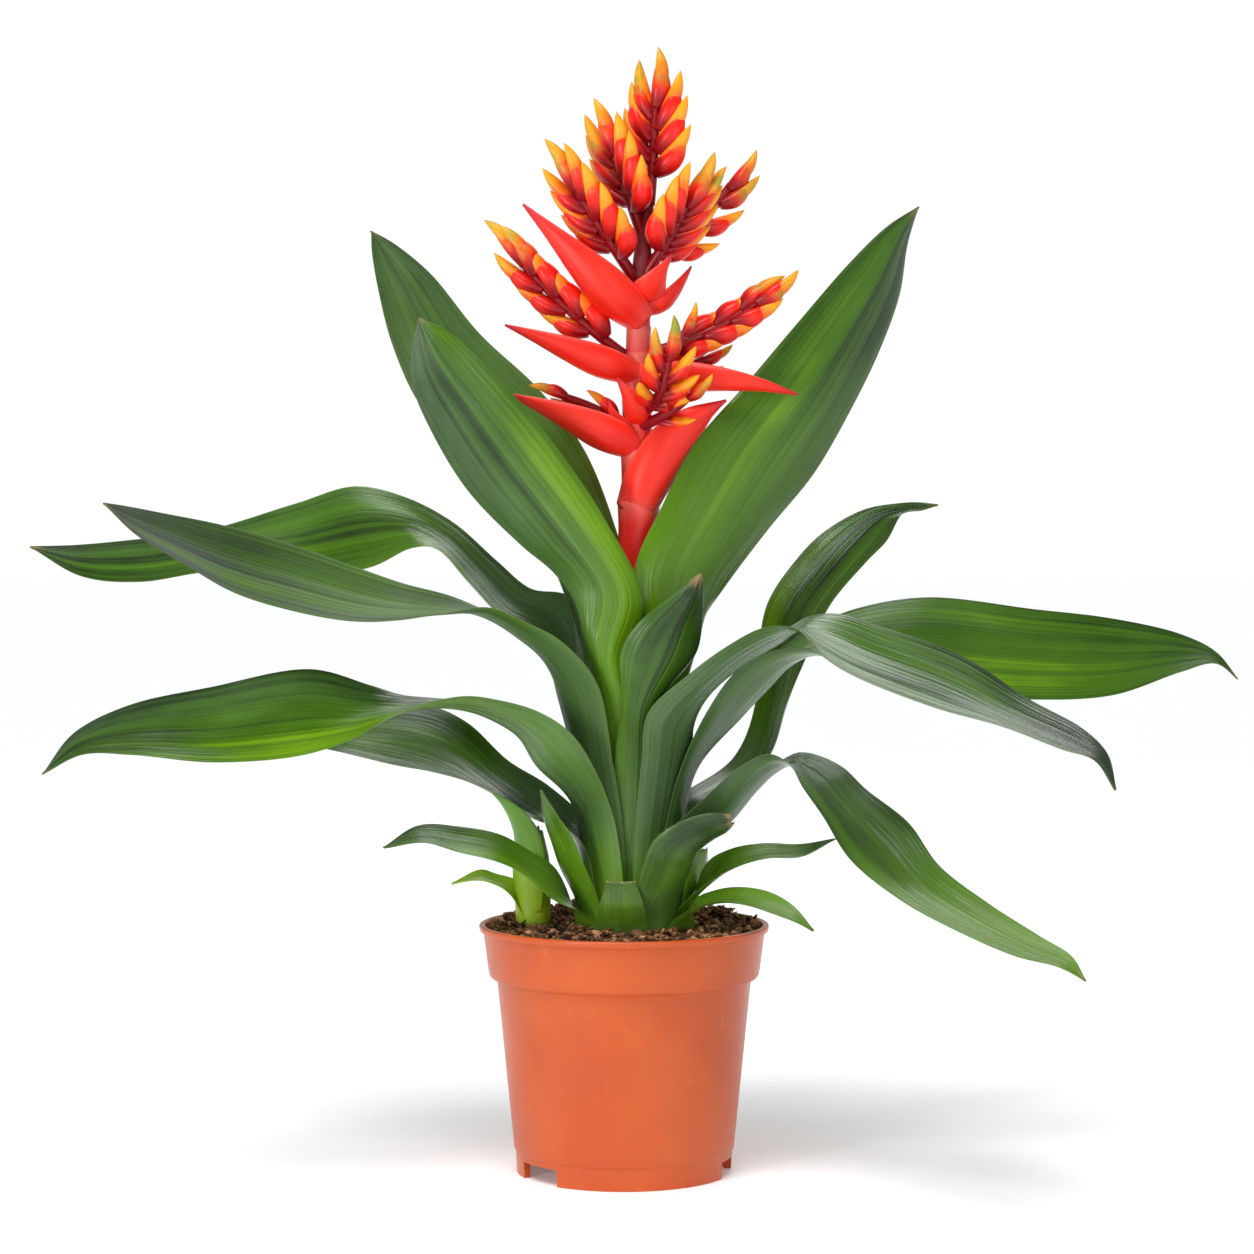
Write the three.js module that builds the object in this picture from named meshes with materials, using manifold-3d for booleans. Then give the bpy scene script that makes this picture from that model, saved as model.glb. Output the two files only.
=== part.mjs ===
// A flowering bromeliad in a plastic nursery pot.
//
// The frame: millimetres, +Z up, the origin at the middle of the pot's foot, the front at -Y.
// The plant is a rosette. Every leaf starts as a sheath that wraps the stem below the soil,
// the inner ones in narrow rings and the outer ones in wider rings, then opens into a blade.
// A flower stalk grows out of the middle, with large bracts and two-ranked flower spikes.

import * as THREE from "three";
import { mergeVertices } from "three/addons/utils/BufferGeometryUtils.js";
import Module from "manifold-3d";

const wasm = await Module();
wasm.setup();

// Pot
const POT_HEIGHT = 111;
const RIM_RADIUS = 65;
const COLLAR_TOP_RADIUS = 62.9;
const COLLAR_BOTTOM_RADIUS = 60.5;
const COLLAR_BOTTOM = 87;
const BODY_TOP_RADIUS = 56.8;
const BODY_BOTTOM_RADIUS = 49;
const FOOT_RADIUS = 48;
const FOOT_HEIGHT = 10;
const FLOOR_UNDERSIDE = 8;
const POT_WALL = 1.6;
const POT_SIDES = 36;
const NOTCH_AZIMUTHS = [-142, -12, 104];
const NOTCH_WIDTH = 24;
const NOTCH_HEIGHT = 7.5;
const NOTCH_DEPTH = 12;
const DRAIN_COUNT = 6;
const DRAIN_RADIUS = 4;
const DRAIN_CIRCLE = 30;
const DRAIN_SIDES = 8;

// Soil
const SOIL_TOP = 106.5;
const SOIL_BUMP = 1.6;
const SOIL_RINGS = 5;
const HOLE_SIDES = 24;
const CLEARANCE = 0.35;

// Plant
const PLANT_X = 4;
const SHEATH_BOTTOM = 97.5;
const INNER_SHEATH_RADIUS = 9.7;
const SHEATH_PITCH = 1.95;
const SHEATH_FLARE = 0.9;
const OUTER_RING = 10;
const LEAF_THICKNESS = 0.7;
const OFFSHOOT_PLACE = [-41, 6];
const OFFSHOOT_RADIUS = 7.5;

// Colours
const TERRACOTTA = 0xe0693f;
const SOIL_BROWN = 0x4a2d1c;
const LEAF_GREEN = 0x2f6b22;
const YOUNG_GREEN = 0x7d9a2c;
const BRACT_RED = 0xe2382c;
const SPIKE_RED = 0xe0381c;
const STALK_RED = 0xd8453c;

const vec = (point) => new THREE.Vector3(point[0], point[1], point[2]);
const radians = THREE.MathUtils.degToRad;

// Solids and meshes

function solidFrom(positions, triangles) {
  const mesh = new wasm.Mesh({
    numProp: 3,
    vertProperties: new Float32Array(positions),
    triVerts: new Uint32Array(triangles),
  });
  return new wasm.Manifold(mesh);
}

function solidFromGeometry(geometry) {
  const plain = geometry.clone();
  plain.deleteAttribute("normal");
  plain.deleteAttribute("uv");
  const merged = mergeVertices(plain, 1e-4);
  return solidFrom(merged.attributes.position.array, merged.index.array);
}

function largestBody(solid) {
  const bodies = solid.decompose();
  bodies.sort((a, b) => b.volume() - a.volume());
  return bodies[0];
}

function meshFrom(name, solid, material) {
  const made = solid.getMesh();
  const positions = new Float32Array(made.numVert * 3);
  for (let i = 0; i < made.numVert; i += 1) {
    const from = i * made.numProp;
    positions.set(made.vertProperties.subarray(from, from + 3), i * 3);
  }
  const geometry = new THREE.BufferGeometry();
  geometry.setAttribute("position", new THREE.BufferAttribute(positions, 3));
  geometry.setIndex(new THREE.BufferAttribute(new Uint32Array(made.triVerts), 1));
  geometry.computeVertexNormals();
  const mesh = new THREE.Mesh(geometry, material);
  mesh.name = name;
  return mesh;
}

function finish(color, roughness) {
  return new THREE.MeshStandardMaterial({ color, roughness, metalness: 0 });
}

// A closed solid from rings of points that share one count. The ends are closed with fans.
function loft(rings) {
  const count = rings[0].length;
  const positions = rings.flat().flatMap((p) => [p.x, p.y, p.z]);
  const triangles = [];
  for (let i = 0; i + 1 < rings.length; i += 1) {
    for (let j = 0; j < count; j += 1) {
      const next = (j + 1) % count;
      const a = i * count + j;
      const b = i * count + next;
      const c = (i + 1) * count + next;
      const d = (i + 1) * count + j;
      triangles.push(a, b, c, a, c, d);
    }
  }
  const last = (rings.length - 1) * count;
  for (let j = 1; j + 1 < count; j += 1) {
    triangles.push(0, j + 1, j);
    triangles.push(last, last + j, last + j + 1);
  }
  return solidFrom(positions, triangles);
}

// Blades: a leaf or bract is a curved sheet between two edges, with a hollow along its middle

// The point at v (-1 to 1) across an arc from edge a to edge b, which bulges by `hollow`.
function arcPoint(a, b, outward, hollow, v) {
  const middle = a.clone().add(b).multiplyScalar(0.5);
  const half = b.clone().sub(a).multiplyScalar(0.5);
  const bend = 2 * Math.atan(Math.max(hollow, 0.02) / half.length());
  const across = Math.sin(v * bend) / Math.sin(bend);
  const depth = (Math.cos(v * bend) - Math.cos(bend)) / (1 - Math.cos(bend));
  return middle.addScaledVector(half, across).addScaledVector(outward, hollow * depth);
}

function sheathRadius(ring, z) {
  const rise = (z - SHEATH_BOTTOM) / 100;
  return (INNER_SHEATH_RADIUS + ring * SHEATH_PITCH) * (1 + SHEATH_FLARE * rise * rise);
}

// Points of one sheath row: an arc about the plant's axis at height z.
function sheathRow(ring, facing, [z, halfWrap], columns) {
  const radius = sheathRadius(ring, z);
  return columns.map((v) => {
    const azimuth = radians(facing + v * halfWrap);
    return new THREE.Vector3(PLANT_X + radius * Math.cos(azimuth), radius * Math.sin(azimuth), z);
  });
}

// Points of one blade row, bulging away from the upper face.
function bladeRow(row, before, after, columns) {
  const a = vec(row.slice(0, 3));
  const b = vec(row.slice(3, 6));
  const along = after.clone().sub(before).normalize();
  const outward = b.clone().sub(a).cross(along).normalize();
  return columns.map((v) => arcPoint(a, b, outward, row[6], v));
}

const middleOf = (row) => vec(row.slice(0, 3)).add(vec(row.slice(3, 6))).multiplyScalar(0.5);

// A sheet of given thickness over rows of points, with a station about every `step` along it.
// Both faces are split alike.
function sheetSolid(rows, step, thickness) {
  const width = rows[0].length;
  const lines = rows[0].map((_, j) => {
    return new THREE.CatmullRomCurve3(rows.map((row) => row[j]), false, "centripetal");
  });
  const middle = lines[Math.floor(width / 2)];
  const count = Math.max(Math.round(middle.getLength() / step), 3);
  const grid = [];
  for (let i = 0; i <= count; i += 1) {
    const t = middle.getUtoTmapping(i / count);
    grid.push(lines.map((line) => line.getPoint(t)));
  }
  const clampRow = (i) => grid[Math.min(Math.max(i, 0), count)];
  const normalAt = (i, j) => {
    const along = clampRow(i + 1)[j].clone().sub(clampRow(i - 1)[j]);
    const right = Math.min(j + 1, width - 1);
    const left = Math.max(j - 1, 0);
    return along.cross(grid[i][right].clone().sub(grid[i][left])).normalize();
  };
  const positions = [];
  for (const side of [0.5, -0.5]) {
    grid.forEach((row, i) => {
      row.forEach((point, j) => {
        const moved = point.clone().addScaledVector(normalAt(i, j), side * thickness);
        positions.push(moved.x, moved.y, moved.z);
      });
    });
  }
  const lower = (count + 1) * width;
  const at = (i, j) => i * width + j;
  const triangles = [];
  const quad = (a, b, c, d) => triangles.push(a, b, c, a, c, d);
  for (let i = 0; i < count; i += 1) {
    for (let j = 0; j + 1 < width; j += 1) {
      const corners = [at(i, j), at(i, j + 1), at(i + 1, j + 1), at(i + 1, j)];
      triangles.push(corners[0], corners[2], corners[1], corners[0], corners[3], corners[2]);
      const under = corners.map((k) => k + lower);
      triangles.push(under[0], under[1], under[2], under[0], under[2], under[3]);
    }
    quad(at(i, 0), at(i, 0) + lower, at(i + 1, 0) + lower, at(i + 1, 0));
    const e = width - 1;
    quad(at(i, e), at(i + 1, e), at(i + 1, e) + lower, at(i, e) + lower);
  }
  for (let j = 0; j + 1 < width; j += 1) {
    quad(at(0, j), at(0, j + 1), at(0, j + 1) + lower, at(0, j) + lower);
    quad(at(count, j), at(count, j) + lower, at(count, j + 1) + lower, at(count, j + 1));
  }
  return solidFrom(positions, triangles);
}

function columnsFor(segments) {
  return Array.from({ length: segments + 1 }, (_, j) => -1 + (2 * j) / segments);
}

// A leaf's rows, from the sheath's bottom to the tip.
function leafRows(leaf, segments) {
  const columns = columnsFor(segments);
  const sheath = leaf.sheath.map((level) => sheathRow(leaf.ring, leaf.facing, level, columns));
  const top = sheath[sheath.length - 1];
  const topMiddle = top[0].clone().add(top[segments]).multiplyScalar(0.5);
  const middles = [topMiddle, ...leaf.blade.map(middleOf)];
  middles.push(middles[middles.length - 1]);
  const blade = leaf.blade.map((row, i) => bladeRow(row, middles[i], middles[i + 2], columns));
  return [...sheath, ...blade];
}

// Pot

function potSolid() {
  const outer = [
    [FOOT_RADIUS, 0],
    [FOOT_RADIUS + 0.5, FOOT_HEIGHT],
    [BODY_BOTTOM_RADIUS + 0.2, FOOT_HEIGHT + 0.8],
    [BODY_TOP_RADIUS, COLLAR_BOTTOM - 1],
    [COLLAR_BOTTOM_RADIUS, COLLAR_BOTTOM + 0.5],
    [COLLAR_TOP_RADIUS, POT_HEIGHT - 3.6],
    [RIM_RADIUS - 0.2, POT_HEIGHT - 2.6],
    [RIM_RADIUS, POT_HEIGHT - 1.2],
    [RIM_RADIUS - 1.2, POT_HEIGHT],
  ];
  const inner = [
    [COLLAR_TOP_RADIUS - POT_WALL, POT_HEIGHT - 2],
    [COLLAR_BOTTOM_RADIUS - POT_WALL, COLLAR_BOTTOM + 1],
    [BODY_TOP_RADIUS - POT_WALL, COLLAR_BOTTOM - 2],
    [BODY_BOTTOM_RADIUS - POT_WALL, FLOOR_UNDERSIDE + POT_WALL],
    [0, FLOOR_UNDERSIDE + POT_WALL],
    [0, FLOOR_UNDERSIDE],
    [FOOT_RADIUS - POT_WALL - 1.2, FLOOR_UNDERSIDE],
    [FOOT_RADIUS - POT_WALL - 1.6, 0],
    [FOOT_RADIUS, 0],
  ];
  const profile = [...outer, ...inner].map(([r, z]) => new THREE.Vector2(r, z));
  const turned = new THREE.LatheGeometry(profile, POT_SIDES).rotateX(Math.PI / 2);
  let pot = solidFromGeometry(turned);
  if (pot.volume() < 0) {
    throw new Error("the pot's profile runs the wrong way round");
  }
  for (const azimuth of NOTCH_AZIMUTHS) {
    const notch = new THREE.BoxGeometry(NOTCH_DEPTH, NOTCH_WIDTH, NOTCH_HEIGHT * 2);
    notch.translate(FOOT_RADIUS, 0, 0).rotateZ(radians(azimuth));
    pot = pot.subtract(solidFromGeometry(notch));
  }
  for (let i = 0; i < DRAIN_COUNT; i += 1) {
    const length = POT_WALL * 4;
    const drain = new THREE.CylinderGeometry(DRAIN_RADIUS, DRAIN_RADIUS, length, DRAIN_SIDES);
    drain.rotateX(Math.PI / 2).translate(DRAIN_CIRCLE, 0, FLOOR_UNDERSIDE);
    drain.rotateZ((i * 2 * Math.PI) / DRAIN_COUNT);
    pot = pot.subtract(solidFromGeometry(drain));
  }
  return pot;
}

// Soil: fills the pot, with a lumpy top and plain holes that the plants stand in

function soilHeight(x, y) {
  const coarse = Math.sin(x * 0.31 + 1.3) * Math.cos(y * 0.27 - 0.4);
  const fine = Math.sin(x * 0.83 - y * 0.61 + 2.1) * Math.cos(y * 0.77 + x * 0.22);
  return SOIL_TOP + SOIL_BUMP * (0.6 * coarse + 0.5 * fine);
}

function soilSolid() {
  const sides = [];
  const bottom = FLOOR_UNDERSIDE + POT_WALL + CLEARANCE;
  const levels = [
    [BODY_BOTTOM_RADIUS - POT_WALL - CLEARANCE, bottom],
    [BODY_TOP_RADIUS - POT_WALL - CLEARANCE - 0.2, COLLAR_BOTTOM - 2],
    [COLLAR_BOTTOM_RADIUS - POT_WALL - CLEARANCE - 0.2, COLLAR_BOTTOM + 1.6],
  ];
  const ringAt = (radius, height) => {
    return Array.from({ length: POT_SIDES }, (_, j) => {
      const azimuth = (j * 2 * Math.PI) / POT_SIDES;
      const x = radius * Math.cos(azimuth);
      const y = radius * Math.sin(azimuth);
      return new THREE.Vector3(x, y, height ?? soilHeight(x, y));
    });
  };
  for (const [radius, z] of levels) {
    sides.push(ringAt(radius, z));
  }
  const edge = COLLAR_TOP_RADIUS - POT_WALL - CLEARANCE - 0.9;
  for (let i = 0; i < SOIL_RINGS; i += 1) {
    sides.push(ringAt(edge * (1 - i / (SOIL_RINGS + 0.5))));
  }
  const hole = (x, y, radius) => {
    const bottomOfHole = SHEATH_BOTTOM - CLEARANCE;
    const height = 2 * (SOIL_TOP - bottomOfHole);
    const cutter = new THREE.CylinderGeometry(radius, radius, height, HOLE_SIDES);
    cutter.rotateX(Math.PI / 2);
    cutter.translate(x, y, bottomOfHole + height / 2);
    return solidFromGeometry(cutter);
  };
  const plantHole = sheathRadius(OUTER_RING, SHEATH_BOTTOM) + LEAF_THICKNESS + CLEARANCE;
  return loft(sides)
    .subtract(hole(PLANT_X, 0, plantHole))
    .subtract(hole(...OFFSHOOT_PLACE, OFFSHOOT_RADIUS + CLEARANCE));
}

// Leaves
//
// ring: how far out the sheath wraps, 0 innermost
// facing: azimuth of the midrib at the base, degrees from +X
// sheath: height and half angle of the wrap, degrees
// blade: back or left edge x, y, z, then front or right edge x, y, z, then the hollow's depth

const LEAVES = [
  {
    name: "leaf_tall_left_back",
    ring: 0,
    facing: 165,
    sheath: [[97.5, 72], [150, 66], [200, 54], [232, 46]],
    blade: [
      [3.5, 26, 259.5, -28.5, -6, 263.5, 9],
      [-3.5, 30, 286.5, -42, -2, 291, 7],
      [-18, 34, 323, -69, 8, 318, 7],
      [-38.5, 38, 350.5, -92, 18, 343, 7],
      [-66.5, 42, 377, -105, 26, 370.5, 6],
      [-89, 46, 404.5, -112, 34, 396, 4],
      [-106, 48, 418.5, -115.5, 42, 414, 2],
      [-116, 46, 424, -116, 45, 424, 0.4],
    ],
  },
  {
    name: "leaf_tall_right",
    ring: 0,
    facing: -23,
    sheath: [[97.5, 75], [150, 68], [200, 56]],
    blade: [
      [7, -20, 238.5, 33, 18, 242, 12],
      [4.5, -20, 269, 43.5, 14, 258.5, 9],
      [17, -13, 298, 65, 16, 287, 9],
      [31.5, -7, 325.5, 85.5, 18, 312, 8],
      [54, 0, 351.5, 102, 22, 340, 8],
      [78.5, 6, 380.5, 116, 26, 368.5, 6],
      [101.5, 12, 407, 125, 28, 393.5, 4],
      [118.5, 18, 423.5, 128.5, 28, 416, 2],
      [133, 24, 433, 133, 25, 433, 0.4],
    ],
  },
  {
    name: "leaf_tall_left_front",
    ring: 1,
    facing: 242,
    sheath: [[97.5, 62], [150, 54], [200, 38]],
    blade: [
      [-20.5, -22, 251.5, 0.5, -28, 226.5, 8],
      [-30, -22, 267, 8.5, -24, 255.5, 9],
      [-45.5, -26, 280.5, -8, -30, 291, 8],
      [-68, -34, 304, -27.5, -38, 320.5, 7],
      [-84, -42, 331, -50, -48, 348, 6],
      [-91, -46, 349, -65.5, -54, 364, 5],
      [-91, -50, 364, -77, -56, 373, 3],
      [-87.5, -55, 377.5, -87, -55.5, 377.5, 0.4],
    ],
  },
  {
    name: "leaf_upper_back",
    ring: 1,
    facing: 80,
    sheath: [[97.5, 60], [150, 48], [190, 34]],
    blade: [
      [22, 44, 216, -8, 46, 216, 8],
      [24, 66, 229, -16, 68, 229, 7],
      [24, 92, 231, -18, 94, 231, 6],
      [22, 118, 220, -16, 120, 220, 5],
      [16, 138, 200, -8, 140, 200, 4],
      [4, 149, 178, 3, 149, 178, 0.4],
    ],
  },
  {
    name: "leaf_short_front",
    ring: 2,
    facing: -83,
    sheath: [[97.5, 60], [150, 46], [190, 26]],
    blade: [
      [-1, -31, 212.5, 15.5, -27, 211, 6],
      [-1.5, -38, 234, 32, -24, 233.5, 8],
      [7, -42, 247.5, 34.5, -26, 251, 7],
      [21, -42, 258.5, 34.5, -32, 259.5, 4],
      [32.5, -38, 268, 33.5, -37, 268, 0.4],
    ],
  },
  {
    name: "leaf_mid_left_back",
    ring: 2,
    facing: 146,
    sheath: [[97.5, 48], [150, 42], [195, 30]],
    blade: [
      [-24, 36, 255.5, -38, 9, 230.5, 8],
      [-43, 40, 260, -57, 6, 250, 7],
      [-58.5, 46, 272.5, -71, 10, 265, 6],
      [-78.5, 50, 290, -84.5, 16, 278.5, 5],
      [-101.5, 56, 302, -96, 20, 278.5, 4],
      [-125, 60, 307, -114.5, 28, 270, 4],
      [-153.5, 66, 299, -146, 38, 265, 3],
      [-196.5, 74, 286.5, -189, 50, 267.5, 2],
      [-233, 82, 282, -225.5, 62, 262.5, 2],
      [-262, 90, 279.5, -256.5, 80, 265, 1],
      [-283, 95, 279, -282.5, 94, 278.5, 0.4],
    ],
  },
  {
    name: "leaf_mid_right_front",
    ring: 3,
    facing: -32,
    sheath: [[97.5, 60], [150, 56], [185, 50]],
    blade: [
      [10.5, -36, 207.5, 27, 2, 207, 13],
      [26.5, -40, 223, 34, -2, 219, 10],
      [43.5, -44, 236, 51, -5, 230, 7],
      [60.5, -50, 245, 68.5, -10, 240.5, 6],
      [74, -56, 244.5, 81, -14, 248.5, 3],
      [83.5, -66, 234, 95.5, -26, 250, 3],
      [95.5, -74, 226, 111.5, -36, 245, 3],
      [130, -86, 212.5, 145, -52, 233, 3],
      [158, -98, 205, 171.5, -68, 215.5, 3],
      [180.5, -108, 196.5, 192, -86, 204, 2],
      [193, -114, 192.5, 200.5, -100, 194.5, 1],
      [200.5, -120, 181, 201.5, -119, 181, 0.4],
    ],
  },
  {
    name: "leaf_mid_left_front",
    ring: 3,
    facing: 208,
    sheath: [[97.5, 52], [150, 50], [185, 42]],
    blade: [
      [-28.5, 0, 213.5, -12, -35, 220.5, 8],
      [-30.5, -3, 232.5, -27.5, -43, 239, 9],
      [-44.5, -2, 243, -42.5, -44, 247, 6.5],
      [-61.5, -3, 251, -58.5, -46, 253.5, 4],
      [-77.5, 0, 257.5, -77, -44, 251, 3],
      [-97.5, -6, 263, -96.5, -48, 248, 3],
      [-116, -10, 269.5, -115.5, -52, 247.5, 3],
      [-145, -18, 280, -138.5, -58, 251.5, 3],
      [-175, -30, 289, -165.5, -64, 260, 3],
      [-198, -44, 294, -188, -70, 273.5, 2],
      [-212, -56, 297, -206.5, -72, 285, 1],
      [-219.5, -74, 298.5, -219, -75, 298, 0.4],
    ],
  },
  {
    name: "leaf_mid_right_back",
    ring: 4,
    facing: 0,
    sheath: [[97.5, 60], [150, 52], [180, 44]],
    blade: [
      [36.5, -20, 207, 50.5, 30, 209.5, 10],
      [51, -16, 226, 62, 30, 224, 12],
      [68, -12, 234, 73.5, 30, 234.5, 9],
      [84.5, -9, 233.5, 85.5, 32, 242, 7],
      [101.5, -6, 223.5, 103, 34, 250, 5],
      [134.5, 2, 214.5, 137.5, 36, 256, 4],
      [184.5, 10, 210.5, 188, 38, 250.5, 4],
      [221.5, 20, 212, 225, 44, 246, 3],
      [254.5, 32, 222, 257.5, 48, 238.5, 2],
      [271.5, 38, 225.5, 273, 46, 230.5, 1],
      [282, 40, 218.5, 282, 41, 218.5, 0.4],
    ],
  },
  {
    name: "leaf_lower_back",
    ring: 4,
    facing: 110,
    sheath: [[97.5, 45], [140, 40], [165, 34]],
    blade: [
      [4, 46, 186, -20, 41, 186, 7],
      [6, 70, 198, -22, 65, 198, 6],
      [7, 96, 198, -22, 91, 198, 5],
      [5, 120, 184, -18, 116, 184, 4],
      [-1, 136, 164, -14, 134, 164, 2],
      [-7, 144, 146, -8, 144, 146, 0.4],
    ],
  },
  {
    name: "leaf_low_left_front",
    ring: 5,
    facing: 205,
    sheath: [[97.5, 58], [140, 52], [165, 44]],
    blade: [
      [-34, 6, 187, -22, -44, 198, 14],
      [-45.5, 0, 201, -37, -46, 208.5, 10],
      [-58.5, -6, 208.5, -56, -48, 214, 7],
      [-71.5, -12, 211.5, -69, -52, 215.5, 5],
      [-85.5, -18, 213, -85.5, -56, 212.5, 3],
      [-97.5, -22, 214.5, -99, -60, 207.5, 3],
      [-111, -28, 219, -114.5, -64, 198.5, 3],
      [-136, -38, 226.5, -136, -72, 191.5, 4],
      [-177.5, -54, 219.5, -172.5, -86, 189.5, 3],
      [-209, -74, 213, -204.5, -98, 193.5, 2],
      [-229.5, -90, 202.5, -224, -104, 194, 1],
      [-239.5, -110, 186.5, -239, -109.5, 186.5, 0.4],
    ],
  },
  {
    name: "leaf_back_right",
    ring: 5,
    facing: 42,
    sheath: [[97.5, 50], [135, 42], [155, 32]],
    blade: [
      [66, 34, 183, 51, 64, 180.5, 5],
      [75, 46, 207, 61.5, 80, 203.5, 5],
      [85, 54, 229, 63.5, 84, 230, 5],
      [95.5, 62, 251, 68, 90, 252, 5],
      [113.5, 74, 271.5, 82, 98, 272.5, 5],
      [124, 84, 281.5, 94.5, 102, 285, 4],
      [131.5, 94, 293.5, 115, 108, 296.5, 3],
      [135.5, 100, 295.5, 131.5, 106, 299.5, 2],
      [142.5, 106, 296, 141, 110, 300, 1],
      [150.5, 110, 298.5, 151, 110.5, 299, 0.4],
    ],
  },
  {
    name: "leaf_low_left_back",
    ring: 6,
    facing: 168,
    sheath: [[97.5, 66], [130, 56], [150, 40]],
    blade: [
      [-34, 28, 170, -42.5, -8, 161.5, 8],
      [-53, 32, 181.5, -64.5, 0, 172.5, 6],
      [-72, 38, 198.5, -85, 6, 178, 5],
      [-89.5, 42, 206, -103, 10, 181, 4],
      [-117, 46, 206, -128.5, 16, 186.5, 3],
      [-145, 48, 200, -152.5, 30, 190, 2],
      [-174, 42, 192, -173.5, 41, 192, 0.4],
    ],
  },
  {
    name: "leaf_low_right",
    ring: 6,
    facing: -20,
    sheath: [[97.5, 72], [130, 60], [148, 46]],
    blade: [
      [34, -38, 169.5, 39.5, 8, 163, 13],
      [49.5, -44, 184, 55.5, 0, 177, 10],
      [62, -50, 190.5, 68.5, -8, 184, 6],
      [71, -58, 186.5, 78.5, -18, 189, 3],
      [76, -66, 177.5, 94.5, -30, 184, 3],
      [84, -74, 166, 105, -40, 174.5, 3],
      [95, -86, 148.5, 122, -56, 161.5, 4],
      [114.5, -102, 133.5, 133.5, -74, 145, 4],
      [134, -120, 124, 152, -96, 131.5, 3],
      [158, -138, 115, 171, -120, 120.5, 2],
      [174, -148, 112, 181, -138, 115, 1],
      [184.5, -150, 107, 185, -149.5, 107, 0.4],
    ],
  },
  {
    name: "leaf_inner_left",
    ring: 7,
    facing: 200,
    sheath: [[97.5, 40], [118, 36]],
    blade: [
      [-28, 2, 138.5, -18.5, -28, 142.5, 5],
      [-32, -6, 149, -22, -28, 151.5, 4],
      [-35.5, -14, 162.5, -29, -30, 162, 3],
      [-36.5, -26, 173, -36, -26.5, 173, 0.4],
    ],
  },
  {
    name: "leaf_pale_right",
    ring: 7,
    facing: -4,
    sheath: [[97.5, 28], [118, 25]],
    blade: [
      [28, -11, 135, 36, 9, 133, 4],
      [30.5, -9, 142, 37, 7, 141, 3],
      [35, -5, 145, 37, 1, 145, 1],
    ],
  },
  {
    name: "leaf_small_left",
    ring: 8,
    facing: 206,
    sheath: [[97.5, 26], [114, 22]],
    blade: [
      [-30.5, -8, 136.5, -31, -36, 126, 4],
      [-41.5, -12, 144.5, -42, -38, 136.5, 4],
      [-54.5, -18, 152.5, -54.5, -44, 143, 3],
      [-72, -28, 157, -71.5, -50, 148, 3],
      [-89.5, -38, 158.5, -86, -54, 152.5, 2],
      [-104, -50, 150, -103.5, -49.5, 149.5, 0.4],
    ],
  },
  {
    name: "leaf_level_right",
    ring: 8,
    facing: -25,
    sheath: [[97.5, 24], [116, 22]],
    blade: [
      [38.5, -28, 133.5, 36.5, -10, 139, 4],
      [50, -32, 140, 47, -12, 145.5, 3],
      [62.5, -36, 144, 61, -16, 148.5, 2.5],
      [77.5, -38, 145, 77.5, -24, 149, 2],
      [92, -34, 152.5, 92.5, -33.5, 152.5, 0.4],
    ],
  },
  {
    name: "leaf_stub_right",
    ring: 9,
    facing: -72,
    sheath: [[97.5, 22], [116, 22]],
    blade: [
      [7.5, -38, 138, 29, -22, 138, 8],
      [13.5, -46, 153.5, 34, -26, 150, 9],
      [28.5, -50, 163, 41, -26, 156, 8],
      [40.5, -54, 165.5, 47, -36, 159.5, 6],
      [46, -52, 164.5, 48, -42, 160.5, 3],
    ],
  },
  {
    name: "leaf_over_rim",
    ring: 10,
    facing: -41,
    sheath: [[97.5, 20], [112, 19]],
    blade: [
      [32, -36, 123, 31, -20, 124, 3],
      [41, -42, 126, 40.5, -22, 128.5, 3],
      [52.5, -48, 125, 51.5, -28, 130.5, 2.5],
      [65.5, -52, 121, 63.5, -34, 129, 2],
      [74, -54, 118, 73.5, -42, 124, 1],
      [81.5, -52, 114, 82, -51.5, 114.5, 0.4],
    ],
  },
  {
    name: "leaf_scale_front",
    ring: 10,
    facing: -102,
    sheath: [[97.5, 24], [110, 25]],
    blade: [
      [-11, -33.5, 122, 9, -35, 122, 2.5],
      [-8, -35.5, 134, 5, -36.5, 134, 1.5],
    ],
  },
];

const SMALL_RING = 7;
const LARGE_LEAF = { segments: 5, step: 22 };
const SMALL_LEAF = { segments: 4, step: 12 };

function leafSolid(leaf) {
  const detail = leaf.ring < SMALL_RING ? LARGE_LEAF : SMALL_LEAF;
  return sheetSolid(leafRows(leaf, detail.segments), detail.step, LEAF_THICKNESS);
}

// Flower stalk: the stem goes on as a stalk, and a sheathing bract thickens it under the flowers

const STALK = [
  [4, 0, 97.5, 8.4],
  [4.5, 0, 200, 8.4],
  [5.5, 0, 272, 8.2],
  [6.6, 0, 299, 9.1],
  [6.6, 0, 303, 7.8],
  [6, 0, 325, 7],
  [5.4, 0, 350, 5.8],
  [6.6, 0, 378, 5],
  [7.5, 0, 400, 4.4],
  [9, 0, 420, 3.4],
  [11.5, 0, 437, 2.2],
];
const STALK_SIDES = 12;

function stalkSolid(grow) {
  const rings = STALK.map(([x, y, z, radius]) => {
    return Array.from({ length: STALK_SIDES }, (_, j) => {
      const azimuth = (j * 2 * Math.PI) / STALK_SIDES;
      const r = radius + grow;
      return new THREE.Vector3(x + r * Math.cos(azimuth), y + r * Math.sin(azimuth), z);
    });
  });
  return loft(rings);
}

// A bent line through a root, a middle and a tip.
function bentLine([root, middle, tip]) {
  const control = vec(middle).multiplyScalar(2);
  control.addScaledVector(vec(root), -0.5).addScaledVector(vec(tip), -0.5);
  return new THREE.QuadraticBezierCurve3(vec(root), control, vec(tip));
}

// Large bracts: a boat about a bent line, rolled about it so that its back shows, in degrees
//
// The one that clasps the stalk's front has the rows of a leaf's blade instead.

const BRACT_THICKNESS = 1.1;
const BRACT_SEGMENTS = 4;
const BRACT_STEP = 14;
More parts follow.
